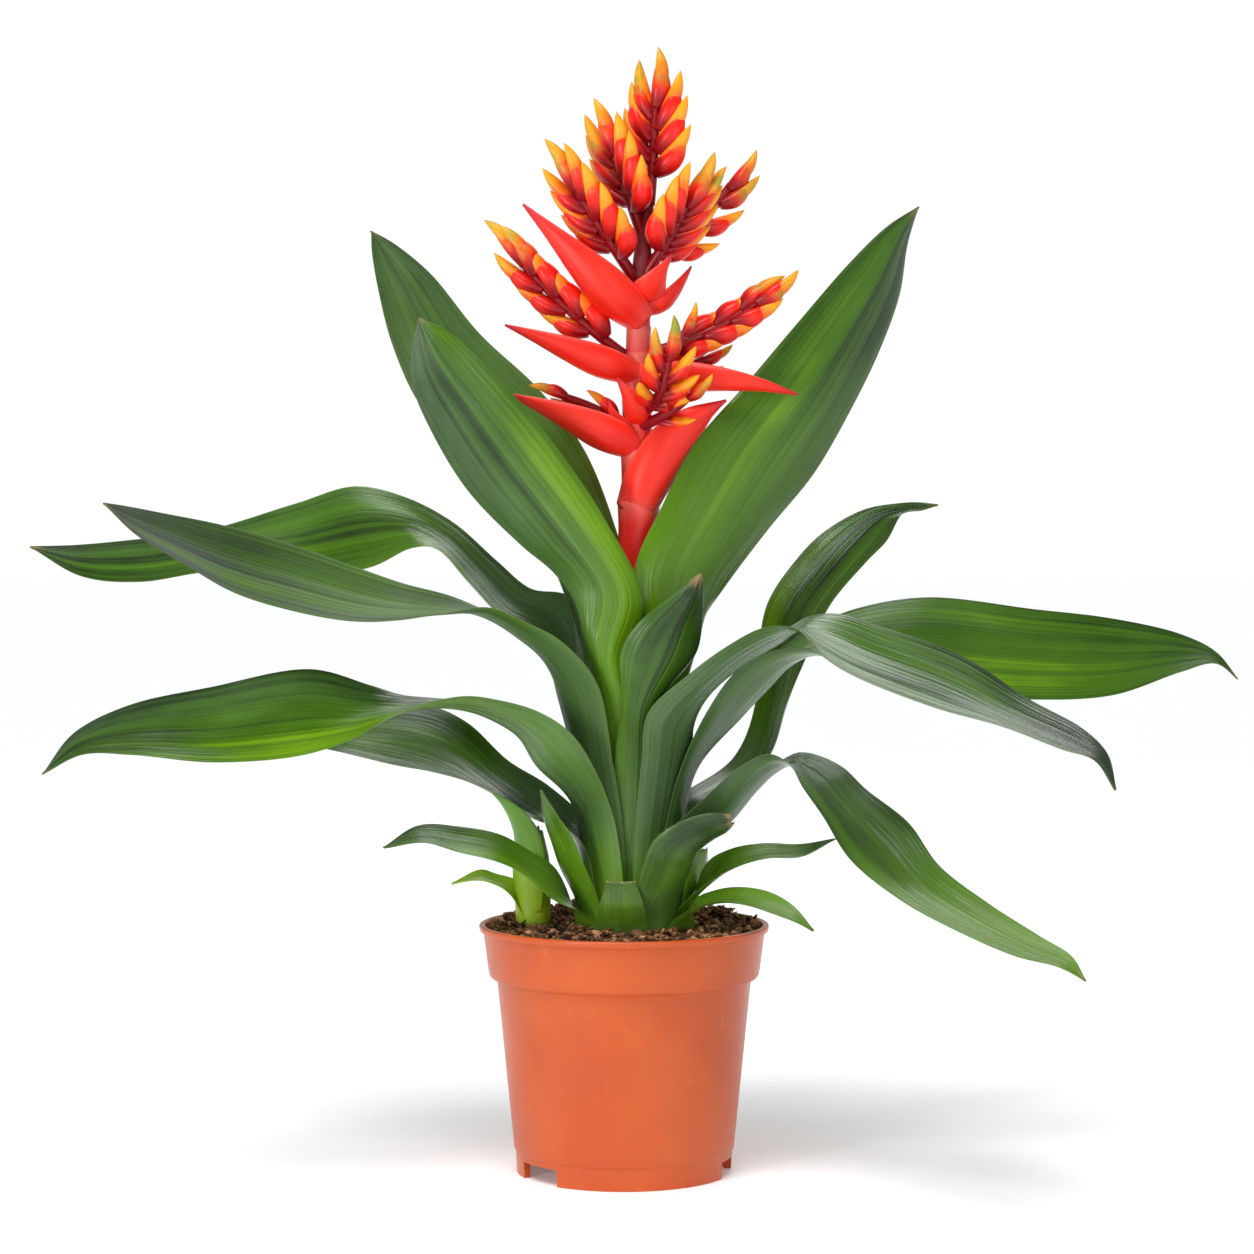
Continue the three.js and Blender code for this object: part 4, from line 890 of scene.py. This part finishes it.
leaf_skin = finish_material("leaf_skin", paint_leaf)
leaf_across = np.sin(np.linspace(-np.pi / 2, np.pi / 2, LEAF_COLUMNS))


def leaf_piece(name, rows, thickness, material, looks, step=LEAF_STEP):
    """A closed leaf through its rows, with the marks that its paint reads."""
    grid = sheet_grid(rows, step)
    rings = sheet_rings(grid, leaf_across, thickness, vein_relief(grid, leaf_across, looks["seed"]))
    across, face = column_marks(leaf_across)
    along = np.linspace(0, 1, len(grid))[:, None]
    return solid_mesh(name, rings, material, across=across, along=along, face=face, **looks)


def from_edge_to_edge(value):
    """One value for a whole leaf, or a change from one edge's value to the other's over its middle."""
    return np.interp(column_marks(leaf_across)[0], CHANGE_ACROSS, np.broadcast_to(value, 2))


for number, leaf in enumerate(LEAVES):
    leaf = PLAIN_LEAF | leaf
    sheath = [sheath_row(leaf["ring"], leaf["facing"], level, leaf_across) for level in leaf["sheath"]]
    before = (sheath[-1][0] + sheath[-1][-1]) / 2
    rows = sheath + blade_rows(np.array(leaf["blade"], float), leaf_across, leaf["fold"], before)
    looks = {name: from_edge_to_edge(leaf[name]) for name in ("light", "bloom_and_sheen", *PLAIN_LEAF)}
    looks["seed"] = number * 3.7
    piece = leaf_piece(leaf["name"] + "_blade", rows, LEAF_THICKNESS, leaf_skin, looks)
    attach(piece, "root")
    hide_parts(leaf["name"])


# Offshoot
# A young plant that grows from the stem's foot and comes up through the soil: a short column of rolled
# sheaths, lime green, with three open leaves. It is one grown piece.

# Height and radius
OFFSHOOT_COLUMN = [[97.5, 7.5], [110, 7.5], [126, 8.4], [140, 7.4], [152, 4.5]]
OFFSHOOT_STATIONS = 30
AROUND_OFFSHOOT = 48
OFFSHOOT_THICKNESS = 1
OFFSHOOT_STEP = 1.6
# As the blades of the leaves, from the offshoot's place, with the heights from the ground
OFFSHOOT_LEAVES = [
    [
        [-7, 0, 116, 4, -7, 116, 3],
        [-9, -2, 134, 6, -10, 136, 4],
        [-8, -4, 149, 3.5, -12, 152, 4],
        [-10.5, -7, 159, -3, -14, 161.5, 3],
        [-14, -10, 165.5, -9, -14, 166, 1.5],
        [-17, -13, 169.8, -16.5, -13.5, 169.8, 0.4],
    ],
    [
        [2, 3, 116, -3, -7, 112, 2],
        [-6, 3, 128.5, -10, -7, 124, 2],
        [-17, 2, 132.5, -17, -7, 129, 2],
        [-23.5, 0, 134.5, -24.5, -8, 130.5, 1.5],
        [-36, -5, 129, -36.3, -5.5, 128.8, 0.4],
    ],
    [
        [1, -5, 124, 1, 5, 124, 2],
        [2.5, -4, 138, 2.5, 5, 138, 2],
        [2, 0, 154, 2, 1, 154, 0.4],
    ],
]


def paint_young_leaf(start):
    """Lime green at the foot, deeper green further up, with fine lengthwise veins."""
    height = start.height()
    across, along, face, seed = (start.mark(name) for name in ("across", "along", "face", "seed"))
    streaks = start.noise(start.vector(across * 9.0, along * 1.8, seed), 1.0, 3.0)
    rise = (height + (streaks - 0.5) * 0.02).smooth(0.108, 0.15)
    lime = rise.tint(srgb(160, 190, 30), srgb(108, 156, 30))
    outer = 1 - face.smooth(-0.3, 0.3)
    colour = (height.smooth(0.13, 0.16) * outer * 0.5).tint(lime, srgb(74, 118, 50))
    return {
        "Base Color": colour,
        "Roughness": 0.4 + (streaks - 0.5) * 0.1,
        "Specular IOR Level": 0.5,
        "Normal": start.bump(streaks, 0.3, 0.0008),
    }


young_skin = finish_material("young_leaf_skin", paint_young_leaf)
column_heights = np.linspace(OFFSHOOT_COLUMN[0][0], OFFSHOOT_COLUMN[-1][0], OFFSHOOT_STATIONS)
column_radii = np.interp(column_heights, *np.array(OFFSHOOT_COLUMN, float).T)
column_rings = turned_rings(np.stack([column_radii, column_heights], -1), AROUND_OFFSHOOT, OFFSHOOT_PLACE)
turn = np.linspace(-1, 1, AROUND_OFFSHOOT)
offshoot_parts = [
    solid_mesh("offshoot_column", column_rings, young_skin, across=turn, along=0.2, face=-1.0, seed=1.0)
]
for number, rows in enumerate(OFFSHOOT_LEAVES):
    blade = np.array(rows, float) + np.array([*OFFSHOOT_PLACE, 0, *OFFSHOOT_PLACE, 0, 0])
    rows = blade_rows(blade, leaf_across, PLAIN_LEAF["fold"])
    name, looks = f"offshoot_leaf_{number}", {"seed": number * 2.9}
    offshoot_parts.append(leaf_piece(name, rows, OFFSHOOT_THICKNESS, young_skin, looks, OFFSHOOT_STEP))


def joined(name, parts):
    """One piece that holds the meshes of several."""
    with bpy.context.temp_override(active_object=parts[0], selected_editable_objects=parts):
        bpy.ops.object.join()
    parts[0].name = parts[0].data.name = name
    return parts[0]


offshoot = joined("offshoot_young_plant", offshoot_parts)
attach(offshoot, "root")
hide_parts("offshoot_left")


# Flower stalk
# The stem goes on above the rosette as a stalk, wrapped in the bases of its bracts. Each base ends in a low
# ledge where its bract bends away, and the stalk thins out above the last of them.

# Centre x, height and radius
STALK = [
    [4, 97.5, 8.4],
    [4.5, 200, 8.4],
    [5.5, 272, 8.2],
    [6.6, 299, 9.1],
    [6.6, 303, 7.8],
    [6, 325, 7],
    [5.4, 350, 5.8],
    [6.6, 378, 5],
    [7.5, 400, 4.4],
    [9, 420, 3.4],
    [11.5, 437, 2.2],
]
LEDGES = [262, 300, 322, 347, 366, 377, 395]
LEDGE_REACH = 11
LEDGE_LIFT = 0.5
STALK_STATIONS = 260
AROUND_STALK = 40


def ledge_lift(heights):
    """Each ledge rises in a straight slope over LEDGE_REACH and drops at once at its height."""
    below = np.array(LEDGES) - heights[:, None]
    rise = np.where((below > 0) & (below < LEDGE_REACH), 1 - below / LEDGE_REACH, 0)
    return LEDGE_LIFT * rise.sum(1)


def paint_stalk(start):
    """Waxy red with fine lengthwise veins: pinker higher up and just under each ledge, and dark maroon
    between the upper spikes, partly the colour of the spikes' roots and partly painted shade between them."""
    height = start.height()
    turn, pale = start.mark("turn"), start.mark("pale")
    veins = start.noise(start.vector(turn * 14.0, height * 40.0, 0.0), 1.0, 3.0)
    red = height.smooth(0.305, 0.36).tint(srgb(232, 24, 14), srgb(216, 66, 60))
    colour = (pale * 0.5 + (veins - 0.5) * 0.3).tint(red, srgb(236, 130, 112))
    # Dark maroon between the upper spikes: partly their roots' own colour, partly painted shade
    colour = height.smooth(0.39, 0.402).tint(colour, srgb(116, 12, 26))
    return {
        "Base Color": colour,
        "Roughness": 0.42,
        "Specular IOR Level": 0.5,
        "Normal": start.bump(veins, 0.3, 0.0006),
    }


stalk_skin = finish_material("stalk_skin", paint_stalk)
stalk_x, stalk_z, stalk_r = np.array(STALK, float).T
heights = np.linspace(stalk_z[0], stalk_z[-1], STALK_STATIONS)
lift = ledge_lift(heights)
turn = np.linspace(0, 2 * np.pi, AROUND_STALK, endpoint=False)
radius = (np.interp(heights, stalk_z, stalk_r) + lift)[:, None]
stalk_rings = np.stack([
    np.interp(heights, stalk_z, stalk_x)[:, None] + radius * np.cos(turn),
    radius * np.sin(turn),
    np.broadcast_to(heights[:, None], (STALK_STATIONS, AROUND_STALK)),
], -1)
pale = (lift / LEDGE_LIFT)[:, None]
stalk = solid_mesh("flower_stalk_skin", stalk_rings, stalk_skin, turn=np.sin(turn * 2), pale=pale)
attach(stalk, "root")
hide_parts("flower_stalk")


# Bracts
# Nine large flower bracts, smooth red boats with long points, that grow from the stalk below the spikes.
# Each clasps the stalk with its root and bends outwards.

BRACT_THICKNESS = 1.1
BRACT_COLUMNS = 19
BRACT_STEP = 1.4
BRACT_FOLD = 0.25
# Share of the length, then of the width and of the hollow's depth
BRACT_SHAPE = [
    [0, 0.62, 0.66],
    [0.14, 0.88, 0.92],
    [0.3, 1, 1],
    [0.52, 0.8, 0.74],
    [0.76, 0.44, 0.36],
    [1, 0.04, 0.02],
]
# line: root, middle and tip. roll: how far it turns about its line, so that its back shows, in degrees
BRACTS = [
    {
        "name": "bract_top_left",
        "line": [[8, 0, 381], [-16.9, -9, 405], [-44.3, -10, 430.5]],
        "width": 21, "hollow": 11.5, "roll": 36,
    },
    {
        "name": "bract_mid_left",
        "line": [[6.5, 0, 357], [-23, -8, 367.5], [-52.5, -10, 377.5]],
        "width": 16.5, "hollow": 8.5, "roll": 36,
    },
    {
        "name": "bract_low_left",
        "line": [[6.2, 0, 324], [-21.4, -9, 336.6], [-51.2, -12, 347]],
        "width": 18.5, "hollow": 9, "roll": 40,
    },
    {
        "name": "bract_low_right",
        "blade": [
            [-2.9, 1.5, 300, 16.1, 1.5, 300, 11.2],
            [0.2, -5.5, 312, 21, -1.5, 306, 8],
            [4.4, -8, 320, 25.4, -1.5, 313.5, 7],
            [11, -9, 329.6, 30.3, -2, 322, 6],
            [18.9, -9.5, 336.4, 34.9, -2.5, 329.6, 5],
            [28.1, -9, 341, 38.6, -4, 336.4, 3.5],
            [36.8, -8, 343, 41.9, -5.5, 340.5, 1.6],
            [45, -7, 344.4, 45.1, -6.8, 344.2, 0.4],
        ],
    },
    {
        "name": "bract_mid_right",
        "line": [[7, 0, 357], [43, -12, 354.5], [76.6, -12, 346.8]],
        "width": 16, "hollow": 8, "roll": -38,
    },
    {
        "name": "bract_top_right",
        "line": [[9, 0, 391], [13, -9, 397.5], [21, -15, 408]],
        "width": 16, "hollow": 5, "roll": -8,
    },
    {
        "name": "bract_behind",
        "line": [[9, 1, 386], [20.5, 5, 394], [29.8, 6, 404.5]],
        "width": 13, "hollow": 6, "roll": -20,
    },
    {
        "name": "bract_front",
        "line": [[8, -1, 337], [4.4, -13, 343], [-3.1, -15, 354]],
        "width": 13, "hollow": 4.5, "roll": 40,
    },
    {
        "name": "bract_small_left",
        "line": [[5, 0, 329], [-2.7, -4, 335.6], [-6.7, -5, 344]],
        "width": 9, "hollow": 4, "roll": 30,
    },
]


def bent_line(line, shares):
    """Points and unit tangents at the shares of a parabola through a root, a middle and a tip."""
    root, middle, tip = np.array(line, float)
    control = 2 * middle - (root + tip) / 2
    t = np.asarray(shares, float)[:, None]
    points = root * (1 - t) ** 2 + control * 2 * t * (1 - t) + tip * t**2
    return points, unit((control - root) * (1 - t) + (tip - control) * t)


def bract_rows(bract, across):
    """Hollow rows square to the bent line, with widths and depths from BRACT_SHAPE. The bract that clasps
    the stalk's front has the rows of a leaf's blade instead."""
    if "blade" in bract:
        return blade_rows(np.array(bract["blade"], float), across, 0.0)
    line, width, hollow, roll = (bract[key] for key in ("line", "width", "hollow", "roll"))
    shares, wide, deep = np.array(BRACT_SHAPE, float).T
    centres, along = bent_line(line, shares)
    side = unit(np.cross([0, 0, 1], along))
    inward = unit(np.cross(along, side))
    turned = side * math.cos(math.radians(roll)) + inward * math.sin(math.radians(roll))
    outward = unit(np.cross(turned, along))
    half = turned * (width / 2 * wide)[:, None]
    rows = zip(centres - half, centres + half, outward, hollow * deep)
    return [hollow_row(*row, across, BRACT_FOLD) for row in rows]


def paint_bract(start):
    """Smooth coral red with a satin sheen: pinker towards the margins and the root, darker at the tip."""
    across, along, seed = (start.mark(name) for name in ("across", "along", "seed"))
    broad = start.noise(start.vector(across * 1.5, along * 2.0, seed), 1.0, 2.0)
    veins = start.noise(start.vector(across * 26.0, along * 1.5, seed), 1.0, 2.0)
    red = broad.smooth(0.3, 0.7).tint(srgb(230, 24, 8), srgb(243, 46, 26))
    margin = (across * across).smooth(0.6, 1.0) + (1 - along.smooth(0.0, 0.14)) * 0.7
    colour = (margin * 0.5 + (veins - 0.5) * 0.12).tint(red, srgb(240, 104, 92))
    colour = along.smooth(0.8, 1.0).tint(colour, srgb(196, 30, 40))
    return {
        "Base Color": colour,
        "Roughness": 0.4 + (broad - 0.5) * 0.1,
        "Specular IOR Level": 0.36,
        "Normal": start.bump(veins, 0.25, 0.0004),
    }


bract_skin = finish_material("bract_skin", paint_bract)
bract_across = np.sin(np.linspace(-np.pi / 2, np.pi / 2, BRACT_COLUMNS))
for number, bract in enumerate(BRACTS):
    name = bract["name"]
    grid = sheet_grid(bract_rows(bract, bract_across), BRACT_STEP)
    rings = sheet_rings(grid, bract_across, BRACT_THICKNESS, np.zeros(grid.shape[:2]))
    across, face = column_marks(bract_across)
    along = np.linspace(0, 1, len(grid))[:, None]
    piece = solid_mesh(name + "_boat", rings, bract_skin, across=across, along=along, seed=number * 2.3)
    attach(piece, "root")
    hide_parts(name)


# Spikes
# Twelve flower spikes. On each, two ranks of red keeled bracts overlap along a thin rachis, with a last one
# at the tip. The rachis has the deep red of the bracts' roots, partly painted shade in the gaps between them.
# Each bract holds a longer, narrower bud, orange and then yellow. Both are fleshy and glossy.

# A bract's section, bow and widest place, as shares of its length
KEEL_HEIGHT = 0.44
KEELED_WIDTH = 0.47
KEEL_BOW = 0.07
WIDEST_AT = 0.42
# A bud's length, width and rise above its bract's root, and the reach of its tip, as shares of the bract's
BUD_LENGTH = 1.16
BUD_WIDTH = 0.64
BUD_RISE = 0.18
TIP_REACH = 0.93 * (BUD_RISE + BUD_LENGTH)
# How far the bracts lean from the rachis, in degrees, and how far they stand off its line
LEAN_AT_ROOT = 38
LEAN_AT_TIP = 14
RANK_OFFSET = 1.2
# The longest bract's place from the first one to the last, and how fast the others shorten away from it
LONGEST_AT = 0.4
SHORTENING = 0.12
# The first bract's place on the line, but never past this share of the last one's
BARE_ROOT = 0.2
BARE_ROOT_MOST = 0.35
RACHIS_RADIUS = 2.8
RACHIS_PAST_LAST = 0.04
RACHIS_STATIONS = 30
AROUND_RACHIS = 14
KEELED_STATIONS = 18
AROUND_KEELED = 20
# line: root, middle and tip. rank: the way that the second rank leans
# count, size: how many bracts, and how long the longest is. spread: their lean, as a share of the usual one
SPIKES = [
    {
        "name": "spike_top",
        "line": [[11, 0, 431], [13.7, -1, 465], [14.6, -1, 500.9]],
        "rank": [0.9, -0.4, 0], "count": 7, "size": 22, "spread": 1.05,
    },
    {
        "name": "spike_upper_left",
        "line": [[8.8, 0, 416], [-2.5, -4, 447], [-13.3, -5, 477.7]],
        "rank": [0.6, -0.75, 0.25], "count": 7, "size": 22, "spread": 1.05,
    },
    {
        "name": "spike_outer_left",
        "line": [[6.5, 0, 396], [-14.5, -12, 426.5], [-34.7, -16, 458.7]],
        "rank": [0.6, -0.7, 0.35], "count": 8, "size": 21.5, "spread": 1.05,
    },
    {
        "name": "spike_upper_right",
        "line": [[8, 0, 398], [25.5, -9, 426], [38.7, -14, 453.7]],
        "rank": [0.65, 0.7, -0.3], "count": 8, "size": 22, "spread": 1.1,
    },
    {
        "name": "spike_back_right",
        "line": [[8.5, 0, 404], [38, 10, 429], [57.8, 14, 458.8]],
        "rank": [0.8, 0.2, -0.6], "count": 6, "size": 18.5, "spread": 0.85,
    },
    {
        "name": "spike_mid_left",
        "line": [[6, 0, 360], [-34.5, -2, 394], [-60.4, -2, 425.6]],
        "rank": [0.6, -0.4, 0.6], "count": 8, "size": 21.5, "spread": 0.5,
    },
    {
        "name": "spike_mid_right",
        "line": [[6.5, 0, 364], [48.6, 4, 381], [75.3, 4, 405.7]],
        "rank": [0.5, -0.3, -0.8], "count": 7, "size": 20, "spread": 0.28,
    },
    {
        "name": "spike_front",
        "line": [[7, -2, 340], [17, -27, 350], [19.9, -36, 381]],
        "rank": [1, 0, 0.1], "count": 7, "size": 17, "spread": 1.2,
    },
    {
        "name": "spike_small_right",
        "line": [[6.5, -1, 350], [22.5, -6, 366], [29.5, -7, 388.5]],
        "rank": [0.7, 0.1, -0.5], "count": 2, "size": 13, "spread": 0.3,
    },
    {
        "name": "spike_low_right",
        "line": [[6.5, 2, 353], [33, 14, 362], [47.7, 18, 373.5]],
        "rank": [0.6, 0.3, -0.6], "count": 4, "size": 14, "spread": 0.8,
    },
    {
        "name": "spike_low_left",
        "line": [[5, 1, 330], [-19.6, 2, 343.6], [-43.1, 0, 349]],
        "rank": [0, -0.4, 1], "count": 3, "size": 14.5, "spread": 0.4,
    },
    {
        "name": "spike_low_front",
        "line": [[8, -4, 333], [27, -19, 344], [35.8, -24, 358.4]],
        "rank": [0.8, 0.2, -0.5], "count": 3, "size": 14, "spread": 0.8,
    },
]


def keeled_scale(t):
    """Half width along a keeled bract: 0.6 at the root, 1 where it is widest, then in to a sharp point."""
    root = 0.6 + 0.4 * np.sin(np.pi / 2 * np.clip(t / WIDEST_AT, 0, 1))
    u = np.clip((t - WIDEST_AT) / (1 - WIDEST_AT), 0, 1)
    return root * (1 - u) ** 0.85 * (1 + 0.85 * u)


def keeled_rings(roots, aims, keels, sizes, width):
    """Closed boats. Round a section, the side to the keel is a point-topped arch and the other a shallow bow,
    both as functions of the turn, and the middle line bows out towards the keel as a parabola."""
    t = np.linspace(0, 1, KEELED_STATIONS)
    turn = np.linspace(0, 2 * np.pi, AROUND_KEELED, endpoint=False)
    scale = np.maximum(keeled_scale(t), 0.02)[:, None]
    arch = np.where(np.cos(turn) > 0, 0.58 * np.abs(np.cos(turn)) ** 1.25, -0.36 * np.abs(np.cos(turn)))
    bow = (4 * KEEL_BOW * t * (1 - t))[:, None]
    out = (KEEL_HEIGHT * width * scale * arch + bow)[None, ..., None]
    wide = (KEELED_WIDTH * width * scale * 0.5 * np.sin(turn))[None, ..., None]
    along = np.broadcast_to(t[:, None], scale.shape[:1] + turn.shape)[None, ..., None]
    size = sizes[:, None, None, None]
    flats = unit(np.cross(aims, keels))
    aims, keels, flats = (v[:, None, None] for v in (aims, keels, flats))
    return roots[:, None, None] + size * (aims * along + keels * out + flats * wide), t, turn


def even_line(line, shares):
    """Points and tangents of the bent line at even shares of its length, and that length."""
    fine = np.linspace(0, 1, 200)
    points, _ = bent_line(line, fine)
    run = np.concatenate([[0], np.cumsum(np.linalg.norm(np.diff(points, axis=0), axis=1))])
    return *bent_line(line, np.interp(np.asarray(shares) * run[-1], run, fine)), run[-1]


def paint_spike(start):
    """Glossy skin. A bract is deep red at the root, its own colour deepened by painted shade where the bracts
    overlap, and red further up, with an orange point. A bud turns orange and then yellow along its length.
    The ones at the spike's end are olive here and there."""
    along, keel, bud, tone, olive = (start.mark(name) for name in ("along", "keel", "bud", "tone", "olive"))
    place = start.place()
    cloud = start.noise(place, 120.0, 2.0)
    ripe = along + bud * 0.5 - 0.28 - keel * 0.08 + (cloud - 0.5) * 0.3 + (tone - 0.5) * 0.2
    # Deep red at each root: partly the bract's own colour, partly painted shade where the bracts overlap
    red = along.smooth(0.1, 0.6).tint(srgb(140, 4, 18), srgb(236, 28, 12))
    colour = ripe.smooth(0.42, 0.6).tint(red, srgb(244, 104, 14))
    colour = ripe.smooth(0.6, 0.95).tint(colour, srgb(252, 160, 22))
    colour = (olive * along.smooth(0.3, 0.7) * cloud.smooth(0.35, 0.6)).tint(colour, srgb(150, 150, 42))
    return {
        "Base Color": colour,
        "Roughness": 0.3 + cloud * 0.1,
        "Specular IOR Level": 0.36,
        "Normal": start.bump(cloud, 0.15, 0.0005),
    }


spike_skin = finish_material("spike_skin", paint_spike)
for spike in SPIKES:
    line, count, size, spread = (spike[key] for key in ("line", "count", "size", "spread"))
    rank = np.array(spike["rank"], float)
    reach = even_line(line, [0])[2]
    last = 1 - size * TIP_REACH / reach
    first = min(BARE_ROOT, last * BARE_ROOT_MOST)
    share = np.arange(count) / (count - 1)
    centres, along, _ = even_line(line, first + (last - first) * share)
    out = unit(rank - along * (along @ rank)[:, None])
    side = np.where(np.arange(count) % 2 == 0, 1.0, -1.0)
    side[-1] = 0
    lean = side * spread * np.radians(LEAN_AT_ROOT + (LEAN_AT_TIP - LEAN_AT_ROOT) * share)
    sizes = size * (1 - SHORTENING * np.abs(share - LONGEST_AT))
    roots = centres + out * (side * RANK_OFFSET)[:, None]
    rise = along * (sizes * BUD_RISE)[:, None]
    flip = np.where(side < 0, -1, 1)[:, None]
    cos, sin = np.cos(lean)[:, None], np.sin(lean)[:, None]
    aims, keels = along * cos + out * sin, (out * cos - along * sin) * flip
    parts = []
    for bud, feet, lengths, width in (
        (0, roots, sizes, 1),
        (1, roots + rise, sizes * BUD_LENGTH, BUD_WIDTH),
    ):
        rings, t, turn = keeled_rings(feet, aims, keels, lengths, width)
        marks = {
            "along": t[:, None],
            "keel": np.cos(turn),
            "bud": bud,
            "tone": draw.uniform(0, 1, count)[:, None, None],
            "olive": ((share > 0.75) * draw.uniform(0.2, 1, count))[:, None, None],
        }
        parts.append(solid_mesh(spike["name"] + "_bracts", rings, spike_skin, **marks))
    stem_share = np.linspace(0, last + RACHIS_PAST_LAST, RACHIS_STATIONS)
    stem, stem_along, _ = even_line(line, stem_share)
    across = unit(np.cross(rank, stem_along))
    over = unit(np.cross(stem_along, across))
    turn = np.linspace(0, 2 * np.pi, AROUND_RACHIS, endpoint=False)[:, None]
    stem_radius = (RACHIS_RADIUS - stem_share / stem_share[-1])[:, None, None]
    stem_rings = stem[:, None] + stem_radius * (across[:, None] * np.cos(turn) + over[:, None] * np.sin(turn))
    # The rachis takes the bracts' root colour: deep red, partly painted shade in the gaps between them
    parts.append(solid_mesh("rachis", stem_rings, spike_skin, along=0, keel=1.0, bud=0, tone=0.2, olive=0))
    piece = joined(spike["name"] + "_bracts", parts)
    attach(piece, "root")
    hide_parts(spike["name"])


# Floor, light and camera
# A pale seamless floor under soft studio light: a wide light high in front, a narrow strip at each side of
# the camera and a box high at the back. The room is white round the horizon and dim above. The camera stands
# 1.4 m in front, a little above the rosette.

FLOOR_SIZE = 30.0
CAMERA_PLACE = (0.0013, -1.4, 0.289)
CAMERA_TILT = 1.86
CAMERA_LENS = 90.14

bpy.ops.mesh.primitive_plane_add(size=FLOOR_SIZE)
floor = bpy.context.object
floor.name = "floor"


def paint_floor(start):
    """Plain matt white with a faint glow, as a lit table has."""
    return {
        "Base Color": srgb(243, 245, 247),
        "Roughness": 0.9,
        "Specular IOR Level": 0.1,
        "Emission Color": (1, 1, 1, 1),
        "Emission Strength": 0.145,
    }


floor.data.materials.append(finish_material("floor_white", paint_floor))


def add_light(kind, name, place, target, energy, **settings):
    """A light at `place` that faces `target`."""
    lamp = bpy.data.lights.new(name, kind)
    lamp.energy = energy
    for key, value in settings.items():
        setattr(lamp, key, value)
    light = bpy.data.objects.new(name, lamp)
    light.location = place
    light.rotation_euler = (Vector(target) - Vector(place)).to_track_quat("-Z", "Y").to_euler()
    bpy.context.scene.collection.objects.link(light)


PLANT_MIDDLE = (0, 0, 0.27)
add_light("SUN", "overhead", (-0.24, -0.75, 1.7), PLANT_MIDDLE, 2.2, angle=math.radians(32))
add_light("AREA", "left_strip", (-0.9, -1.2, 0.3), PLANT_MIDDLE, 7, shape="RECTANGLE", size=0.16, size_y=0.6)
add_light("AREA", "right_strip", (0.55, -1.4, 0.3), PLANT_MIDDLE, 2, shape="RECTANGLE", size=0.16, size_y=0.6)
add_light("AREA", "back_box", (0.3, 1.3, 1.4), PLANT_MIDDLE, 9, shape="RECTANGLE", size=1.1, size_y=0.6)

world = bpy.data.worlds.new("studio")
bpy.context.scene.world = world
world.use_nodes = True
world.node_tree.nodes.clear()
room = Shade(world.node_tree)
direction = room.node("ShaderNodeTexCoord", {}, {}, "Generated")
back = room.node("ShaderNodeSeparateXYZ", {}, {"Vector": direction}, "Y")
up = room.node("ShaderNodeSeparateXYZ", {}, {"Vector": direction}, "Z")
behind = back.smooth(0.6, 0.93) * (1 - up.smooth(0.18, 0.26))
bright = room.math("MAXIMUM", behind, 1 - up.smooth(0.0, 0.2))
glow = bright.tint((0.32, 0.32, 0.32, 1), (1.03, 1.03, 1.03, 1))
room.node("ShaderNodeOutputWorld", {}, {
    "Surface": room.node("ShaderNodeBackground", {}, {"Color": glow, "Strength": 1.0}),
})
bpy.context.scene.view_settings.view_transform = "Standard"

camera_data = bpy.data.cameras.new("camera")
camera_data.lens = CAMERA_LENS
camera_data.sensor_width = 36
camera = bpy.data.objects.new("camera", camera_data)
camera.location = CAMERA_PLACE
camera.rotation_euler = (math.radians(90 - CAMERA_TILT), 0, 0)
bpy.context.scene.collection.objects.link(camera)
bpy.context.scene.camera = camera
